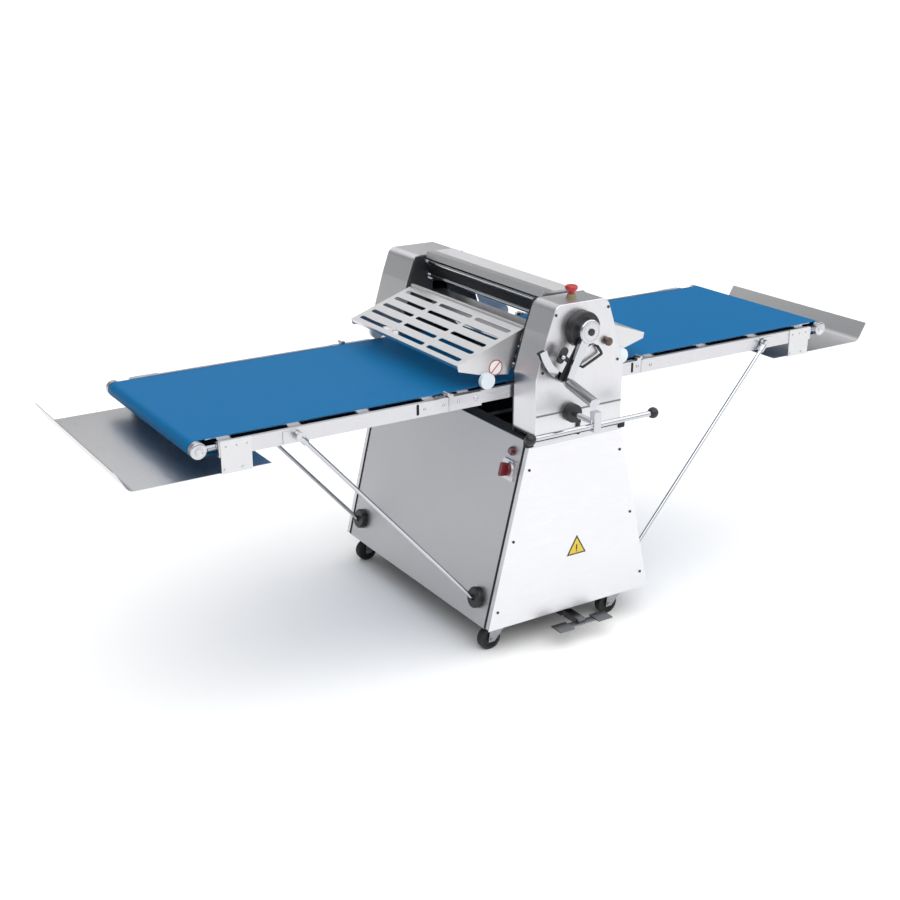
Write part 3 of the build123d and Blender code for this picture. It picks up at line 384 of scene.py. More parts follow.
def lattice(rows: int, columns: int, around: bool, along: bool = False) -> list:
    """Four-cornered faces over a grid of points.

    Args:
        rows: number of sections along the piece.
        columns: number of points in each section.
        around: whether each section is a closed loop.
        along: whether the last section joins the first.
    Returns:
        The faces as lists of vertex numbers.
    """
    first = np.arange(rows if along else rows - 1)[:, None]
    second = np.arange(columns if around else columns - 1)[None, :]
    right, up = (second + 1) % columns, (first + 1) % rows
    quads = np.stack(
        np.broadcast_arrays(
            first * columns + second,
            first * columns + right,
            up * columns + right,
            up * columns + second,
        ),
        axis=-1,
    )
    return quads.reshape(-1, 4).tolist()


def frame_of(axis: Vector) -> tuple:
    """Two unit vectors square to an axis, so that the first, the second and the axis are right-handed.

    Args:
        axis: any direction but nothing.
    Returns:
        The two vectors and the axis at length 1.
    """
    axis = Vector(axis).normalized()
    helper = Vector((0, 0, 1)) if abs(axis.z) < 0.9 else Vector((1, 0, 0))
    first = helper.cross(axis).normalized()
    return np.array(first), np.array(axis.cross(first)), np.array(axis)


def turned(
    name: str, origin: tuple, axis: tuple, profile: list, sides: int = 48, closed: bool = False
) -> bpy.types.Object:
    """A turned piece: a profile of (radius, height) carried round an axis, with flat closed ends.

    A point is origin + radius * (cos a * first + sin a * second) + height * axis, for a from 0 to one turn.

    Args:
        name: the piece's name.
        origin: the profile's foot, in metres.
        axis: the direction of its height.
        profile: (radius, height) pairs in millimetres, from the foot up.
        sides: points round the piece.
        closed: whether the profile is a closed loop, so that the piece is a ring with no end caps.
    Returns:
        The linked object.
    """
    first, second, up = frame_of(axis)
    table = np.array(profile, float) * MM
    turn = np.linspace(0, 2 * np.pi, sides, endpoint=False)
    ring = np.cos(turn)[:, None] * first + np.sin(turn)[:, None] * second
    points = np.array(origin) + table[:, 0][:, None, None] * ring + (table[:, 1][:, None] * up)[:, None, :]
    faces = lattice(len(table), sides, True, closed)
    if not closed:
        faces.append(list(range(sides))[::-1])
        faces.append([(len(table) - 1) * sides + k for k in range(sides)])
    return to_object(name, points, faces)


def wound(outline: np.ndarray) -> np.ndarray:
    """An outline turned counter-clockwise: it is reversed where its signed area is below nothing.

    Args:
        outline: one row per point.
    Returns:
        The same points, in the same order or the other way round.
    """
    following = np.roll(outline, -1, axis=0)
    area = (outline[:, 0] * following[:, 1] - following[:, 0] * outline[:, 1]).sum()
    return outline if area > 0 else outline[::-1]


def rounded_outline(width: float, height: float, radius: float, steps: int = 6) -> np.ndarray:
    """A rectangle with round corners as a loop of (u, v) points, counter-clockwise.

    Each corner is a quarter circle about a centre set in from the corner by the radius.

    Args:
        width: size along u, in millimetres.
        height: size along v, in millimetres.
        radius: the corners' radius, in millimetres.
        steps: points in each corner.
    Returns:
        One row per point, in metres.
    """
    angles = np.linspace(0, np.pi / 2, steps)
    quarters = np.arange(4)[:, None] * np.pi / 2 + angles[None, :]
    centres = np.array([[1, 1], [-1, 1], [-1, -1], [1, -1]]) * (np.array([width, height]) / 2 - radius)
    loop = centres[:, None, :] + radius * np.stack([np.cos(quarters), np.sin(quarters)], axis=-1)
    return loop.reshape(-1, 2) * MM


def plate(
    name: str,
    centre: tuple,
    across: tuple,
    normal: tuple,
    outline: np.ndarray,
    thick: float,
    edge: float = 0.4,
) -> bpy.types.Object:
    """A flat piece with softened edges: an outline carried along its normal and drawn in at both faces.

    Sections stand at 0, edge, thick - edge and thick; the first and last are drawn in to the centre by edge.

    Args:
        name: the piece's name.
        centre: the middle of its back face, in metres.
        across: the direction of the outline's first coordinate.
        normal: the direction the front faces.
        outline: (u, v) points in metres, counter-clockwise seen from the front.
        thick: thickness in millimetres.
        edge: the softened edge in millimetres.
    Returns:
        The linked object.
    """
    out = np.array(Vector(normal).normalized())
    first = np.array(Vector(across).normalized())
    second = np.cross(out, first)
    reach = np.abs(outline).max(axis=0)
    drawn = outline * (1 - edge * MM / np.maximum(reach, 1e-6))
    levels = np.array([0, edge, thick - edge, thick]) * MM
    loops = np.stack([drawn, outline, outline, drawn])
    points = (
        np.array(centre)
        + loops[..., 0:1] * first
        + loops[..., 1:2] * second
        + levels[:, None, None] * out
    )
    count = len(outline)
    faces = lattice(4, count, True)
    faces.append(list(range(count))[::-1])
    faces.append([3 * count + k for k in range(count)])
    return to_object(name, points, faces)


def tube(name: str, path: np.ndarray, radius: float, sides: int = 16) -> bpy.types.Object:
    """A round wire or tube: a circle carried along a path, square to it at each point, with closed ends.

    Args:
        name: the piece's name.
        path: one row per point, in metres.
        radius: the wire's radius in millimetres.
        sides: points round the wire.
    Returns:
        The linked object.
    """
    run = np.gradient(path, axis=0)
    run /= np.linalg.norm(run, axis=1, keepdims=True)
    seed = np.array([0.0, 0.0, 1.0]) if abs(run[0][2]) < 0.8 else np.array([1.0, 0.0, 0.0])
    first = np.cross(seed, run)
    first /= np.linalg.norm(first, axis=1, keepdims=True)
    second = np.cross(run, first)
    turn = np.linspace(0, 2 * np.pi, sides, endpoint=False)
    ring = np.cos(turn)[None, :, None] * first[:, None, :] + np.sin(turn)[None, :, None] * second[:, None, :]
    points = path[:, None, :] + radius * MM * ring
    faces = lattice(len(path), sides, True)
    faces.append(list(range(sides))[::-1])
    faces.append([(len(path) - 1) * sides + k for k in range(sides)])
    return to_object(name, points, faces)


def joined(name: str, parts: list) -> bpy.types.Object:
    """Several meshes as one piece.

    Args:
        name: the new piece's name.
        parts: the objects to join, which are removed.
    Returns:
        The linked object.
    """
    points, faces, count = [], [], 0
    for part in parts:
        flat = np.empty(len(part.data.vertices) * 3)
        part.data.vertices.foreach_get("co", flat)
        points.append(flat.reshape(-1, 3))
        faces += [[count + v for v in face.vertices] for face in part.data.polygons]
        count += len(part.data.vertices)
        mesh = part.data
        bpy.data.objects.remove(part)
        bpy.data.meshes.remove(mesh)
    return to_object(name, np.concatenate(points), faces)


def dress(piece: bpy.types.Object, finish: Finish, body: str) -> bpy.types.Object:
    """Gives a piece its finish and the body it moves with.

    Args:
        piece: the piece.
        finish: its finish.
        body: the body it rides on.
    Returns:
        The piece.
    """
    piece.data.materials.clear()
    piece.data.materials.append(finish.material())
    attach(piece, body)
    log.info("%s rides on %s", piece.name, body)
    return piece


def middle(node: str) -> Vector:
    """The middle of a node's box."""
    low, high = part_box(node)
    return (low + high) / 2


def facing(
    name: str, centre: tuple, outline: np.ndarray, thick: float, edge: float = 0.05
) -> bpy.types.Object:
    """A flat piece whose front faces the operator.

    Args:
        name: the piece's name.
        centre: the middle of its back face, in metres.
        outline: (u, v) points in metres, counter-clockwise as the operator sees them.
        thick: thickness in millimetres.
        edge: the softened edge in millimetres; left alone, it suits a film or a sticker.
    Returns:
        The linked object.
    """
    return plate(name, centre, ALONG, FRONT, outline, thick, edge)


def circle(radius: float, steps: int = 48) -> np.ndarray:
    """A circle as a loop of (u, v) points: (radius cos a, radius sin a), for a from 0 to one turn.

    Args:
        radius: in millimetres.
        steps: points round it.
    Returns:
        One row per point, in metres.
    """
    turn = np.linspace(0, 2 * np.pi, steps, endpoint=False)
    return radius * MM * np.stack([np.cos(turn), np.sin(turn)], axis=-1)


def triangle(height: float) -> np.ndarray:
    """An even-sided triangle, point up, about its centroid: half its base is 0.577 of its height.

    Args:
        height: in millimetres.
    Returns:
        One row per corner as (u, v), in metres.
    """
    half_base = 0.577
    return height * MM * np.array([[-half_base, -1 / 3], [half_base, -1 / 3], [0, 2 / 3]])


def ray(angle: float) -> np.ndarray:
    """A unit vector square to Y: (cos a, 0, sin a).

    Args:
        angle: from +X towards +Z, in degrees.
    Returns:
        The vector.
    """
    turn = math.radians(angle)
    return np.array([math.cos(turn), 0, math.sin(turn)])


def joint_place(name: str) -> list:
    """A point on a joint's axis at rest, in metres."""
    return next(joint for joint in frame["joints"] if joint["name"] == name)["pos_m"]


def smooth_path(corners: np.ndarray, steps: int) -> np.ndarray:
    """A smooth line through a few points: Catmull-Rom, each stretch a cubic of its four nearest points.

    Args:
        corners: one row per point.
        steps: points in the result.
    Returns:
        One row per step.
    """
    padded = np.vstack([2 * corners[0] - corners[1], corners, 2 * corners[-1] - corners[-2]])
    spans = len(corners) - 1
    t = np.linspace(0, spans - 1e-9, steps)
    k = t.astype(int)
    f = (t - k)[:, None]
    a, b, c, d = padded[k], padded[k + 1], padded[k + 2], padded[k + 3]
    return 0.5 * (2 * b + (c - a) * f + (2 * a - 5 * b + 4 * c - d) * f**2 + (3 * b - a - 3 * c + d) * f**3)


# ---------------------------------------------------------------- the machine's own metal

@dataclass
class Metalwork:
    """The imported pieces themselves, each given the finish of its material slot."""

    special: dict = field(default_factory=lambda: dict(NODE_FINISH))

    def dress(self) -> None:
        """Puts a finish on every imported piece."""
        slots = {part["node"]: part["material_slot"] for part in frame["record"]["subparts"]}
        for name, piece in frame["nodes"].items():
            finish = self.special.get(name, SLOT_FINISH[slots[name]])
            piece.data.materials.clear()
            piece.data.materials.append(finish.material())
            log.info("%s is %s", name, finish.name)


@dataclass
class Belt:
    """One blue belt: a single loop round its drive roller and its end roller.

    The loop's path is a straight top run, half a turn, a straight lower run and half a turn. The belt's
    section is a thin strip with rounded edges, carried along that path. thickness and bend_reach are in
    millimetres; bend_reach is not used.
    """

    side: str
    thickness: float = 2.0
    bend_reach: float = 30.0
    edge_round: float = 0.3
    turn_steps: int = 24
    run_steps: int = 60
    width_steps: int = 24

    def path(self) -> tuple:
        """The loop's middle line, its outward normals and the distance along it.

        With t the share of a run and a the angle of a turn, the top run is left + t (right - left) at the
        radius above the axles, and the turn after it is right + radius sin a at radius cos a; the lower run
        and the last turn are the same, the other way round.

        Returns:
            x, z, normal x and normal z, one value per step, and the travel, with the whole length last.
        """
        inner_low, inner_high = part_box(f"{self.side}_inner_belt")
        outer_low, outer_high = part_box(f"{self.side}_table_belt")
        low = min(inner_low.x, outer_low.x)
        high = max(inner_high.x, outer_high.x)
        outer_radius = (inner_high.z - inner_low.z) / 2
        radius = outer_radius - self.thickness * MM / 2
        axle = (inner_high.z + inner_low.z) / 2
        left, right = low + outer_radius, high - outer_radius
        run = (right - left) * np.linspace(0, 1, self.run_steps, endpoint=False)
        flat = np.ones(self.run_steps)
        turn = np.linspace(0, np.pi, self.turn_steps, endpoint=False)
        out, up = np.sin(turn), np.cos(turn)
        xs = np.concatenate([left + run, right + radius * out, right - run, left - radius * out])
        nx = np.concatenate([0 * flat, out, 0 * flat, -out])
        nz = np.concatenate([flat, up, -flat, -up])
        zs = axle + radius * nz
        steps = np.hypot(np.diff(xs, append=xs[:1]), np.diff(zs, append=zs[:1]))
        travel = np.concatenate([[0], np.cumsum(steps)])
        return xs, zs, nx, nz, travel

    def section(self, half: float, thin: float) -> tuple:
        """The belt's section as a loop: along its face, round one edge, back below, round the other.

        Args:
            half: half the belt's width, in metres.
            thin: half its thickness, in metres.
        Returns:
            The place across the belt and the height off its middle line, one value per point.
        """
        inset = thin * self.edge_round
        shoulder = thin * (1 - self.edge_round)
        face = np.linspace(-half + thin, half - thin, self.width_steps)
        under = np.linspace(half - thin, -half + thin, self.width_steps)
        edge = np.array([half - inset, half, half - inset])
        fall = np.array([shoulder, 0, -shoulder])
        flat = np.full(self.width_steps, thin)
        return np.concatenate([face, edge, under, -edge]), np.concatenate([flat, fall, -flat, -fall])

    def build(self) -> bpy.types.Object:
        """Builds the belt as one loop round both rollers and hides the imported belt pieces.

        Returns:
            The belt.
        """
        low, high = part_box(f"{self.side}_table_belt")
        xs, zs, nx, nz, travel = self.path()
        ys, ns = self.section((high.y - low.y) / 2, self.thickness * MM / 2)
        centre = (high.y + low.y) / 2
        rows, columns = len(xs), len(ys)
        points = np.stack(
            [
                xs[:, None] + nx[:, None] * ns[None, :],
                np.broadcast_to(centre + ys[None, :], (rows, columns)),
                zs[:, None] + nz[:, None] * ns[None, :],
            ],
            axis=-1,
        )
        faces = [face[::-1] for face in lattice(rows, columns, True, True)]
        belt = to_object(f"{self.side}_belt", points, faces)
        self.unroll(belt, travel, ys)
        belt.data.materials.append(BELT.material())
        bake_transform(belt)
        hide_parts(f"{self.side}_inner_belt", f"{self.side}_table_belt")
        log.info("%s bends at the %s hinge", belt.name, self.side)
        return belt

    def unroll(self, belt: bpy.types.Object, travel: np.ndarray, ys: np.ndarray) -> None:
        """Lays the belt's surface out flat in metres: u along the loop, v across it.

        The faces that close the loop join its last section to its first, so there the first section's
        corners take the whole length and not nothing.

        Args:
            belt: the belt, made of four-cornered faces.
            travel: the distance along the loop at each section, with the whole length last.
            ys: the place across the belt of each point of a section.
        """
        layer = belt.data.uv_layers.new(name="surface")
        corners = np.empty(len(belt.data.loops), int)
        belt.data.loops.foreach_get("vertex_index", corners)
        row, column = corners // len(ys), corners % len(ys)
        by_face = row.reshape(-1, 4)
        closing = (by_face.max(axis=1) - by_face.min(axis=1) > 1).repeat(4)
        u = np.where(closing & (row == 0), travel[-1], travel[row])
        layer.data.foreach_set("uv", np.stack([u, ys[column]], axis=-1).ravel())


@dataclass
class Pedestal:
    """The leaning base: rubber seals at the panel edges, corner caps, warning sign, and painted shadow and shade
    strips at the cover seams.

    Sizes are in millimetres. seal_ends is how far the seals stop short of the panel's foot and crown, and
    sign_layers is how far the sign's border, field and mark stand off the cover. mark_bar and mark_dot are
    a width, a height and a corner radius.
    """

    sheet: float = 2.6
    seal_width: float = 9.0
    seal_rise: float = 1.4
    seal_depth: float = 1.0
    seal_overhang: float = 2.5
    seal_corner: float = 1.5
    seal_ends: tuple = (2.0, 1.0)
    cap_size: tuple = (26.0, 24.0, 22.0)
    cap_corner: float = 5.0
    cap_outset: float = 4.0
    cap_inset: float = 6.0
    cap_drop: float = 12.0
    sign_shift: float = 16.0
    sign_height: float = 208.0
    sign_sizes: tuple = (66.0, 52.0)
    sign_layers: tuple = (0.2, 0.5, 0.7)
    mark_bar: tuple = (5.0, 18.0, 2.0)
    mark_rise: float = 3.0
    mark_dot: tuple = (5.0, 5.0, 2.4)
    mark_drop: float = 10.5
    film: float = 0.1
    seam_share: float = 0.985
    seam_height: float = 80.0
    seam_width: float = 6.0
    gap_height: float = 2.5
    gap_width: float = 5.0
    flange_width: float = 16.0
    flange_drop: float = 9.0

    def panel(self, sign: int) -> tuple:
        """The lowest and highest corners of a leaning panel: the left one for -1, the right one for 1."""
        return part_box("left_panel" if sign < 0 else "right_panel")

    def tilt(self, sign: int) -> np.ndarray:
        """The outward normal of a leaning panel: its rise and its run, changed over.

        Args:
            sign: -1 for the left panel and 1 for the right.
        Returns:
            The normal, at length 1.
        """
        low, high = self.panel(sign)
        run = (high.x - low.x) - self.sheet * MM
        rise = high.z - low.z
        return np.array([sign * rise, 0, run]) / math.hypot(rise, run)

    def face_point(self, sign: int, y: float, z: float, out: float) -> np.ndarray:
        """A point on a leaning panel.

        Args:
            sign: -1 for the left panel and 1 for the right.
            y: where on the panel, across the machine, in metres.
            z: where on the panel, in height, in metres.
            out: how far it stands proud, in millimetres.
        Returns:
            The point, in metres.
        """
        low, high = self.panel(sign)
        foot = low.x if sign < 0 else high.x
        crown = (high.x - self.sheet * MM) if sign < 0 else (low.x + self.sheet * MM)
        share = (z - low.z) / (high.z - low.z)
        return np.array([foot + (crown - foot) * share, y, z]) + out * MM * self.tilt(sign)

    def build(self) -> None:
        """Builds the seals, caps, sign and seams."""
        for side, sign in (("left", -1), ("right", 1)):
            self.seals(side, sign)
        self.corner_caps()
        self.warning_sign()
        self.cover_seams()

    def seals(self, side: str, sign: int) -> None:
        """Black rubber strips along both leaning edges of one panel, sunk a little into it.

        Args:
            side: left or right.
            sign: -1 for the left panel and 1 for the right.
        """
        low, high = self.panel(sign)
        above, below = (end * MM for end in self.seal_ends)
        strips = []
        for y, away in ((low.y, -1), (high.y, 1)):
            edge_y = y + away * self.seal_overhang * MM
            foot = self.face_point(sign, edge_y, low.z + above, -self.seal_depth)
            crown = self.face_point(sign, edge_y, high.z - below, -self.seal_depth)
            length = float(np.linalg.norm(crown - foot)) / MM
            outline = rounded_outline(self.seal_width, length, self.seal_corner)
            place, normal = tuple((foot + crown) / 2), tuple(self.tilt(sign))
            thick = self.seal_rise + self.seal_depth
            strips.append(plate("strip", place, (0, 1, 0), normal, outline, thick, 0.5))
        dress(joined(f"{side}_panel_seals", strips), SEAL, "pedestal")

    def corner_caps(self) -> None:
        """Black rubber corner caps where the covers meet the deck."""
        low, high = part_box("front_cover")
        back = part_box("rear_cover")[1].y
        left, right = self.panel(-1)[1].x, self.panel(1)[0].x
        length, width, height = self.cap_size
        outline = rounded_outline(length, width, self.cap_corner)
        caps = []
        for x in (left - self.cap_outset * MM, right + self.cap_outset * MM):
            for y, inward in ((low.y, 1), (back, -1)):
                place = (x, y + inward * self.cap_inset * MM, high.z - self.cap_drop * MM)
                caps.append(plate("cap", place, ALONG, UP, outline, height, 2.0))
        dress(joined("deck_corner_caps", caps), SEAL, "pedestal")

    def warning_sign(self) -> None:
        """A plain yellow warning triangle, dark bordered, with a bar and a dot, near the cover's middle."""
        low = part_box("front_cover")[0]
        x = middle("front_cover").x + self.sign_shift * MM
        z = low.z + self.sign_height * MM
        border_y, field_y, mark_y = (low.y - layer * MM for layer in self.sign_layers)
        outer, inner = self.sign_sizes
        dress(facing("sign_border", (x, border_y, z), triangle(outer), 0.3), BLACK, "pedestal")
        dress(facing("sign_field", (x, field_y, z), triangle(inner), 0.2), VINYL_YELLOW, "pedestal")
        bar_place, dot_place = (x, mark_y, z + self.mark_rise * MM), (x, mark_y, z - self.mark_drop * MM)
        bar = facing("bar", bar_place, rounded_outline(*self.mark_bar), 0.2)
        dot = facing("dot", dot_place, rounded_outline(*self.mark_dot), 0.2)
        dress(joined("sign_mark", [bar, dot]), BLACK, "pedestal")

    def cover_seams(self) -> None:
        """The near head cover's seam and the gap under it, drawn as a painted shadow strip and a painted shade
        strip, and the front cover's top flange.
        """
        low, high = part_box("head_cover_near")
        x, face = (low.x + high.x) / 2, low.y - self.film * MM
        width = (high.x - low.x) / MM * self.seam_share
        # Painted shadow: a grey strip where the cover's seam throws its shadow line.
        place, outline = (x, face, low.z + self.seam_height * MM), rounded_outline(width, self.seam_width, 2)
        dress(facing("head_cover_seam", place, outline, 0.3), SEAM_SHADOW, "pedestal")
        # Painted shade: a black strip where the gap under the cover lies in shade.
        place, outline = (x, face, low.z + self.gap_height * MM), rounded_outline(width, self.gap_width, 2)
        dress(facing("head_cover_gap", place, outline, 0.4), RECESS_SHADE, "pedestal")
        cover_low, cover_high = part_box("front_cover")
        left, right = self.panel(-1)[1].x, self.panel(1)[0].x
        place = ((left + right) / 2, cover_low.y - self.film * MM, cover_high.z - self.flange_drop * MM)
        outline = rounded_outline((right - left) / MM, self.flange_width, 1)
        dress(facing("cover_top_flange", place, outline, 0.5, 0.1), RAIL, "pedestal")


@dataclass
class HeadFittings:
    """Small fittings on the head: latches, lever hub, pawl, arc face, grip cap, trough ends and strips.

    Lengths are in millimetres and angles in degrees. What belongs to the lever is placed from its axis, at
    an angle from +X towards +Z. lean is how far the lever's arm hangs off the upright, tilt is how far its
    grip drops, and arm and grip are their lengths. A size is a length, a width and a corner radius; a reach
    is how far from the axis a piece's middle lies. A sink is how far a piece's back lies behind a face, and
    a piece named proud stands that far before one.
    """

    lean: float = 27.0
    tilt: float = 10.0
    arm: float = 165.0
    grip: float = 142.0
    grip_sink: float = 8.0
    hub_sink: float = 6.0
    bolt_proud: float = 2.0
    dial_gap: float = 0.9
    knob_place: tuple = (104.0, -55.0)
    link_corners: tuple = ((61, -63), (76, -86), (66, -94), (7, -120))
    link_stand: float = 12.0
    link_radius: float = 4.5
    stud_radius: float = 3.6
    back_angle: float = 238.0
    back_reach: float = 93.0
    back_size: tuple = (150.0, 22.0, 10.0)
    pawl_angle: float = 216.0
    pawl_reach: float = 108.0
    pawl_size: tuple = (52.0, 26.0, 12.0)
    bridge_reach: float = 106.0
    bridge_size: tuple = (48.0, 14.0, 5.0)
    ball_reach: float = 113.0
    ball_proud: float = 6.0
    ball_radius: float = 7.0
    lever_thick: float = 6.0
    bridge_thick: float = 5.0
    arc_low: float = 196.5
    arc_high: float = 249.5
    arc_inner: float = 146.0
    arc_outer: float = 170.5
    arc_sink: float = 4.0
    latch_shift: float = 4.0
    latch_stem: tuple = (11.0, 48.0, 4.0)
    latch_rises: tuple = (22.0, 40.0)
    trough_share: tuple = (0.93, 0.86)
    trough_sink: float = 1.6
    strip_half: float = 15.0
    strip_spread: float = 47.0
    strip_inset: float = 6.0
    strip_rows: int = 15
    strip_ridges: tuple = (1.4, 2.6)

    def __post_init__(self) -> None:
        """Reads the lever's axis and the faces that the fittings stand on."""
        self.axis = joint_place("gap_lever_turn")
        self.cover_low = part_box("head_cover_near")[0]
        self.dial_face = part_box("gap_quadrant")[0].y
        self.pivot = self.on_axis(self.dial_face - self.dial_gap * MM)

    def on_axis(self, y: float) -> np.ndarray:
        """The point of the lever's axis at a given y, in metres."""
        return np.array([self.axis[0], y, self.axis[2]])

    def build(self) -> None:
        """Builds every fitting."""
        self.knob()
        self.link()
        self.hub()
        self.back_arm()
        self.pawl()
        self.arc_face()
        self.grip_cap()
        self.cover_latch()
        self.trough_caps()
        self.ridged_strips()

    def knob(self) -> None:
        """The brown latch knob: a neck, then a flared and rounded head."""
        along, rise = self.knob_place
        place = self.on_axis(self.cover_low.y) + np.array([along, 0, rise]) * MM
        profile = [(6, 0), (7, 1), (7, 4), (12, 6), (13.5, 9), (13.5, 13), (12, 16), (8, 18), (2, 18.6)]
        dress(turned("latch_knob", tuple(place), FRONT, profile), PHENOLIC, "pedestal")

    def link(self) -> None:
        """The bent black link beside the lever, held off the cover by a stud at each end."""
        corners = np.array(self.link_corners) * MM
        stand = np.full(len(corners), self.cover_low.y - self.link_stand * MM)
        route = np.stack([self.axis[0] + corners[:, 0], stand, self.axis[2] + corners[:, 1]], axis=-1)
        wires = [tube("link", smooth_path(route, 40), self.link_radius)]
        for end in (route[0], route[-1]):
            foot = np.array([end[0], self.cover_low.y, end[2]])
            wires.append(tube("stud", np.linspace(foot, end, 4), self.stud_radius))
        dress(joined("latch_link", wires), BLACK, "pedestal")

    def hub(self) -> None:
        """The hub's bright disc with its groove, and the dark bolt head in its middle."""
        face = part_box("gap_lever")[0].y + self.hub_sink * MM
        rim = [(35, 0), (35, 1.6), (33.5, 2.4), (29, 2.4), (28.5, 1.3), (27, 1.3), (26.5, 2.4), (11, 2.6)]
        dress(turned("hub_disc", tuple(self.on_axis(face)), FRONT, rim, 64), RAIL, "gap_handle")
        bolt_head = [(11, 0), (11, 3.6), (9, 4.8), (2, 5.0)]
        seat = tuple(self.on_axis(face - self.bolt_proud * MM))
        dress(turned("hub_bolt", seat, FRONT, bolt_head, 40), CHARCOAL, "gap_handle")

    def back_arm(self) -> None:
        """The lever's dark back arm, which sweeps the arc; its black stands partly for the arm and partly for
        painted shade and reflection behind the lever.
        """
        along = ray(self.back_angle)
        place = tuple(self.pivot + along * self.back_reach * MM)
        outline = rounded_outline(*self.back_size)
        arm = plate("lever_back_arm", place, tuple(along), FRONT, outline, self.lever_thick, 0.8)
        # Partly painted shade and reflection: the black also covers the dark area behind the lever.
        dress(arm, BLACK, "gap_handle")

    def pawl(self) -> None:
        """The dark pawl beside the back arm, the bridge that joins the two, and the pawl's bright ball."""
        along, aside = ray(self.back_angle), ray(self.pawl_angle)
        between = ray((self.back_angle + self.pawl_angle) / 2)
        place = tuple(self.pivot + aside * self.pawl_reach * MM)
        outline = rounded_outline(*self.pawl_size)
        body = plate("pawl", place, tuple(along), FRONT, outline, self.lever_thick, 0.8)
        square = tuple(np.cross(between, np.array(FRONT, float)))
        place = tuple(self.pivot + between * self.bridge_reach * MM)
        outline = rounded_outline(*self.bridge_size)
        bridge = plate("bridge", place, square, FRONT, outline, self.bridge_thick, 0.6)
        dress(joined("lever_pawl", [body, bridge]), BLACK, "gap_handle")
        proud = np.array([0, self.ball_proud * MM, 0])
        place = tuple(self.pivot + aside * self.ball_reach * MM - proud)
        turn = np.linspace(0.35, math.pi - 0.05, 16)
        profile = self.ball_radius * np.stack([np.sin(turn), 1 - np.cos(turn)], axis=-1)
        dress(turned("lever_pawl_ball", place, FRONT, profile, 32), CHROME, "gap_handle")

    def arc_face(self) -> None:
        """The bright face of the arc: a crescent between two radii about the lever's axis."""
        sweep = np.radians(np.linspace(self.arc_low, self.arc_high, 40))
        rim = np.stack([np.cos(sweep), np.sin(sweep)], axis=-1)
        crescent = wound(np.concatenate([rim * self.arc_outer * MM, rim[::-1] * self.arc_inner * MM]))
        place = tuple(self.on_axis(self.dial_face + self.arc_sink * MM))
        dress(facing("arc_face", place, crescent, 0.9, 0.2), CHROME, "pedestal")

    def grip_cap(self) -> None:
        """A turned chrome cap on the grip's free end; the end is the arm's tip plus the grip's length."""
        down = -np.array([math.sin(math.radians(self.lean)), 0, math.cos(math.radians(self.lean))])
        tilt = math.radians(self.tilt)
        outward = np.array([0, -math.cos(tilt), 0]) + down * math.sin(tilt)
        root = self.on_axis(0) + down * self.arm * MM
        root[1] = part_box("gap_lever")[0].y + self.grip_sink * MM
        end = root + outward * self.grip * MM
        profile = [(15.4, -1.5), (16.5, -0.8), (16.5, 1.4), (14, 2.6), (5, 3.2), (0.6, 3.3)]
        dress(turned("grip_end_cap", tuple(end), tuple(outward), profile), CHROME, "gap_handle")

    def cover_latch(self) -> None:
        """The black turn bolt that holds the near cover down."""
        x, face = middle("head_cover_near").x - self.latch_shift * MM, self.cover_low.y
        stem_z, head_z = (self.cover_low.z + rise * MM for rise in self.latch_rises)
        stem = facing("stem", (x, face, stem_z), rounded_outline(*self.latch_stem), 7, 1.2)
        profile = [(8, 0), (8, 6), (7, 8), (4, 9), (1, 9.3)]
        head = turned("head", (x, face, head_z), FRONT, profile, 32)
        dress(joined("cover_latch", [stem, head]), BLACK, "pedestal")

    def trough_caps(self) -> None:
        """Light caps that close both ends of the top trough."""
        low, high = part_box("top_tray")
        x, z = (low.x + high.x) / 2, (low.z + high.z) / 2
        wide, tall = self.trough_share
        outline = rounded_outline((high.x - low.x) / MM * wide, (high.z - low.z) / MM * tall, 3)
        sink = self.trough_sink * MM
        caps = []
        for y, out in ((low.y + sink, FRONT), (high.y - sink, (0, 1, 0))):
            caps.append(plate("cap", (x, y, z), ALONG, out, outline, 1.4, 0.3))
        dress(joined("trough_end_caps", caps), SHEET_Y, "pedestal")

    def ridged_strips(self) -> None:
        """The dark strips between the tie bars: a zigzag outline, thin and thick by turns."""
        low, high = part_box("top_tray")
        bars_low, bars_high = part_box("tie_bars")
        x, z = (bars_low.x + bars_high.x) / 2, (bars_low.z + bars_high.z) / 2
        rise = np.linspace(-self.strip_half, self.strip_half, self.strip_rows)
        thin, wide = self.strip_ridges
        ridge = np.where(np.arange(self.strip_rows) % 2, wide, thin)
        sides = [np.stack([ridge, rise], axis=-1), np.stack([-ridge, rise], axis=-1)[::-1]]
        outline = wound(np.concatenate(sides) * MM)
        length = (high.y - low.y) / MM - 2 * self.strip_inset
        strips = []
        for sign in (-1, 1):
            place = (x + sign * self.strip_spread * MM, low.y + self.strip_inset * MM, z)
            strips.append(plate("strip", place, ALONG, (0, 1, 0), outline, length, 0.2))
        dress(joined("tie_bar_strips", strips), BLACK, "pedestal")


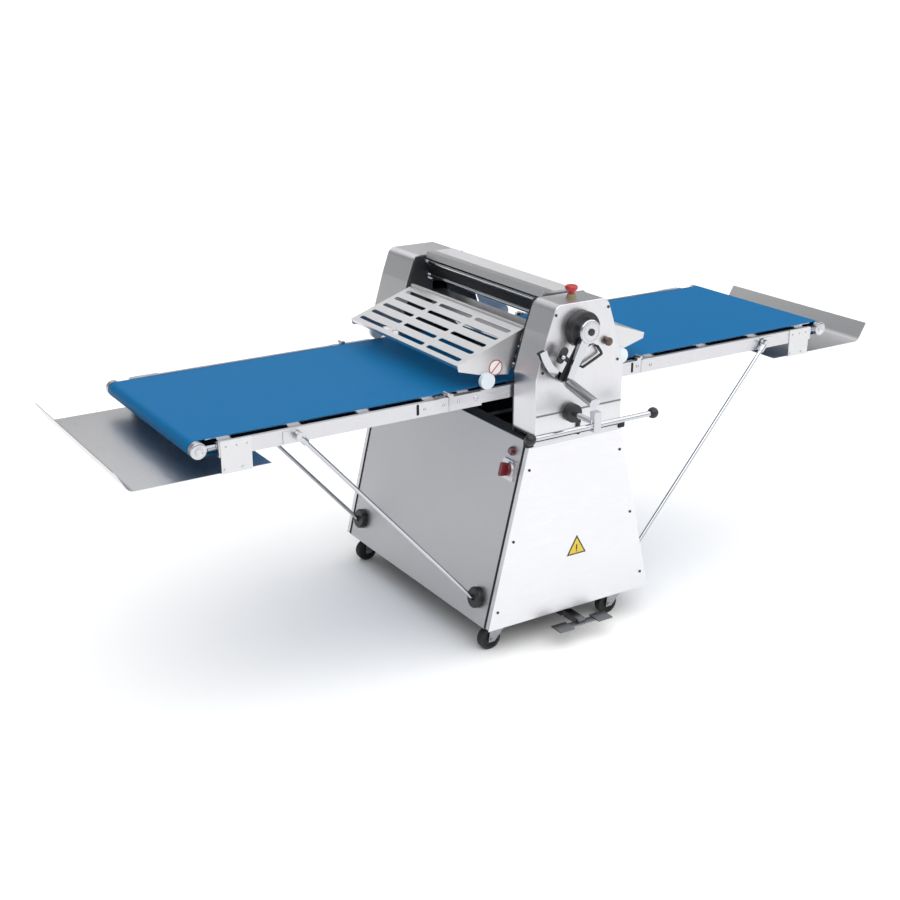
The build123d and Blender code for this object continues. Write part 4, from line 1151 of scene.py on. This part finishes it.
@dataclass
class TableFittings:
    """The bolts, the painted shade in the rail slots, and the screws on one folding table, in millimetres.

    rail_out is how far the rails' outer faces stand from the belt's middle, and rail_drop how far the rails'
    middle lies below the hinge. slot is a width, a height and a corner radius.
    """

    side: str
    rail_out: float = 347.0
    rail_drop: float = 30.0
    fixed_rise: float = 4.0
    slot_rise: float = 2.0
    slot: tuple = (9.0, 34.0, 4.0)
    screw_out: float = 327.5
    screw_back: float = 26.0
    cap_out: float = 337.0
    thread_rows: int = 10
    thread_pitch: float = 2.6

    def build(self) -> None:
        """Builds the rail bolts and the painted shade in their slots, then the tension screws."""
        sign = -1 if self.side == "left" else 1
        hinge = joint_place(f"{self.side}_table_fold")
        mid_y = middle(f"{self.side}_table_belt").y
        rail_z = hinge[2] - self.rail_drop * MM
        fixed, moving, dark = [], [], []
        for y_side in (-1, 1):
            y = mid_y + y_side * self.rail_out * MM
            out = (0, y_side, 0)
            for reach, size in self.fixed_bolts():
                place = (hinge[0] + sign * reach * MM, y, rail_z + self.fixed_rise * MM)
                fixed.append(self.screw(place, out, size))
            for reach, size in self.moving_bolts():
                moving.append(self.screw((hinge[0] + sign * reach * MM, y, rail_z), out, size))
            # Painted shade: a thin black sheet standing in for the shade inside each rail's upright slot.
            place = (hinge[0] + sign * self.slot_reach() * MM, y, rail_z + self.slot_rise * MM)
            dark.append(plate("slot", place, ALONG, out, rounded_outline(*self.slot), 0.4, 0.05))
        dress(joined(f"{self.side}_rail_bolts_fixed", fixed), CHROME, "pedestal")
        dress(joined(f"{self.side}_rail_bolts", moving), CHROME, f"{self.side}_table")
        slot_body = f"{self.side}_table" if self.slot_reach() > 0 else "pedestal"
        dress(joined(f"{self.side}_rail_slot_shades", dark), RECESS_SHADE, slot_body)
        self.tension_screws(sign, mid_y)

    def fixed_bolts(self) -> tuple:
        """Bolts on the pedestal's rail stub: distance past the hinge and head radius."""
        return ((-96, 8.5), (-34, 6.0)) if self.side == "left" else ((-15, 6.0),)

    def moving_bolts(self) -> tuple:
        """Bolts on the folding rail: distance past the hinge and head radius."""
        return ((18, 5.5), (85, 5.0)) if self.side == "left" else ((40, 5.5),)

    def slot_reach(self) -> float:
        """How far past the hinge the upright slot stands; below nothing is on the stub."""
        return 108.0 if self.side == "left" else -37.0

    def screw(self, place: tuple, out: tuple, size: float) -> bpy.types.Object:
        """A pan-head screw with a round recess in its middle.

        Args:
            place: the middle of its seat, in metres.
            out: the direction it faces.
            size: its head's radius in millimetres.
        Returns:
            The screw.
        """
        head = [(size, 0), (size, 1.6), (size * 0.85, 2.8), (size * 0.5, 3.2)]
        recess = [(size * 0.45, 1.4), (0.2, 1.4)]
        return turned("screw", place, out, head + recess, 24)

    def tension_screws(self, sign: int, mid_y: float) -> None:
        """Ridged tension screws behind the end roller's axle, and a grooved cap on each end of the axle.

        Args:
            sign: the way along X to the table's free end.
            mid_y: the belt's middle, in metres.
        """
        low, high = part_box(f"{self.side}_end_roller")
        axle_x, axle_z = (low.x + high.x) / 2, (low.z + high.z) / 2
        thread = [(7.6, -1.0)]
        for row in range(self.thread_rows):
            foot = self.thread_pitch * row
            thread += [(8.6, foot), (10.0, foot + 0.9), (8.6, foot + 1.8)]
        thread.append((7.6, 27.0))
        dish = [(22, 0), (22, 1.0), (20, 2.0), (13, 2.0), (12, 1.0), (9, 1.0), (8, 3.0), (3, 3.6), (0.5, 3.8)]
        pieces = []
        for y_side in (-1, 1):
            place = (axle_x - sign * self.screw_back * MM, mid_y + y_side * self.screw_out * MM, axle_z)
            pieces.append(turned("screw", place, (-sign, 0, 0), thread, 28))
            place = (axle_x, mid_y + y_side * self.cap_out * MM, axle_z)
            pieces.append(turned("cap", place, (0, y_side, 0), dish))
        dress(joined(f"{self.side}_tension_screws", pieces), CHROME, f"{self.side}_table")


@dataclass
class GuardSign:
    """A round sign with a red ring and bar on each guard's near side plate, with no picture.

    Sizes are in millimetres. plate_out is how far the side plate's face stands from the belt's middle; reach
    and drop place the sign from the guard's pivot.
    """

    side: str
    radius: float = 25.0
    band: float = 3.6
    bar_width: float = 3.8
    plate_out: float = 330.2
    reach: float = 104.0
    drop: float = 109.0

    def build(self) -> None:
        """Builds the disc, then the ring with its bar."""
        sign = -1 if self.side == "left" else 1
        pivot = joint_place(f"{self.side}_guard_lift")
        face = middle(f"{self.side}_table_belt").y - self.plate_out * MM
        x, z = pivot[0] + sign * self.reach * MM, pivot[2] - self.drop * MM
        body = f"{self.side}_finger_guard"
        disc = facing(f"{self.side}_guard_sign_field", (x, face, z), circle(self.radius), 0.2)
        dress(disc, VINYL_WHITE, body)
        place = (x, face - 0.2 * MM, z)
        inner = self.radius - self.band
        profile = [(self.radius, 0), (self.radius, 0.35), (inner, 0.35), (inner, 0.0)]
        ring = turned("ring", place, FRONT, profile, 64, closed=True)
        outline = rounded_outline(2 * (self.radius - 3), self.bar_width, 1)
        bar = plate("bar", place, (1, 0, 1), FRONT, outline, 0.25, 0.05)
        dress(joined(f"{self.side}_guard_sign_ring", [bar, ring]), VINYL_RED, body)


# ---------------------------------------------------------------- the studio

@dataclass(frozen=True)
class Softbox:
    """A soft rectangular lamp: its place and size in metres and its power in watts."""

    name: str
    place: tuple
    size: tuple
    power: float


LAMPS = (
    Softbox("key", (-1.6, -4.2, 4.4), (3.6, 2.6), 40),
    Softbox("side", (4.4, -1.6, 3.2), (3.0, 2.4), 30),
    Softbox("back", (0.5, 4.2, 3.6), (4.0, 2.0), 20),
)
PAPER = Finish("studio_paper", "#FDFDFD", "#FBFBFB", 0.8, 0.0, 4.0, 0.0, 0.02)


@dataclass
class Studio:
    """A pale floor, soft lamps and the camera at the operator's left.

    eye, aim_height and floor_drop are in metres, down, turn, sun_spread and sun_lean in degrees, lens in
    millimetres.
    """

    eye: tuple = (-2.4595, -3.57865, 2.1111)
    down: float = 20.2016
    turn: float = -32.2904
    lens: float = 55.28
    aim_height: float = 0.7
    floor_span: float = 400_000.0
    floor_thick: float = 20.0
    sun_strength: float = 3.0
    sun_spread: float = 110.0
    sun_lean: tuple = (18.0, 8.0)
    sky: str = "#F4F5F7"
    sky_strength: float = 0.35

    def build(self) -> None:
        """Builds the floor, the lamps, the sky and the camera."""
        outline = rounded_outline(self.floor_span, self.floor_span, 2000)
        foot = (0, 0, -self.floor_thick * MM)
        floor = plate("studio_floor", foot, ALONG, UP, outline, self.floor_thick, 0.5)
        floor.data.materials.append(PAPER.material())
        for box in LAMPS:
            self.lamp(box)
        self.sun()
        world = bpy.data.worlds.new("studio_sky")
        world.use_nodes = True
        world.node_tree.nodes.clear()
        wires = {"Color": linear(self.sky), "Strength": self.sky_strength}
        sky = add(world.node_tree, "ShaderNodeBackground", wires)
        add(world.node_tree, "ShaderNodeOutputWorld", {"Surface": sky.outputs[0]})
        bpy.context.scene.world = world
        bpy.context.scene.view_settings.view_transform = "Standard"
        self.camera()

    def lamp(self, box: Softbox) -> None:
        """Hangs a soft lamp aimed at the head of the machine.

        Args:
            box: the lamp's place, size and power.
        """
        data = bpy.data.lights.new(box.name, "AREA")
        data.shape = "RECTANGLE"
        data.size, data.size_y = box.size
        data.energy = box.power
        lamp = bpy.data.objects.new(box.name, data)
        lamp.location = box.place
        aim = Vector((0, 0, self.aim_height)) - Vector(box.place)
        lamp.rotation_euler = aim.to_track_quat("-Z", "Y").to_euler()
        bpy.context.scene.collection.objects.link(lamp)

    def sun(self) -> None:
        """A very wide sun that lights the whole floor evenly."""
        data = bpy.data.lights.new("overhead", "SUN")
        data.energy = self.sun_strength
        data.angle = math.radians(self.sun_spread)
        lamp = bpy.data.objects.new("overhead", data)
        lamp.rotation_euler = (math.radians(self.sun_lean[0]), math.radians(self.sun_lean[1]), 0)
        bpy.context.scene.collection.objects.link(lamp)

    def camera(self) -> None:
        """The camera, level from side to side and looking down on the machine."""
        data = bpy.data.cameras.new("camera")
        data.lens = self.lens
        data.sensor_width = 36
        camera = bpy.data.objects.new("camera", data)
        camera.location = self.eye
        camera.rotation_euler = (math.radians(90 - self.down), 0, math.radians(self.turn))
        bpy.context.scene.collection.objects.link(camera)
        bpy.context.scene.camera = camera


def main() -> None:
    """Builds the machine's surfaces and fittings in order, then the studio."""
    logging.basicConfig(level=logging.INFO, format="%(message)s")
    Metalwork().dress()
    for side in ("left", "right"):
        Belt(side).build()
        TableFittings(side).build()
        GuardSign(side).build()
    Pedestal().build()
    HeadFittings().build()
    Studio().build()


if __name__ == "__main__":
    main()
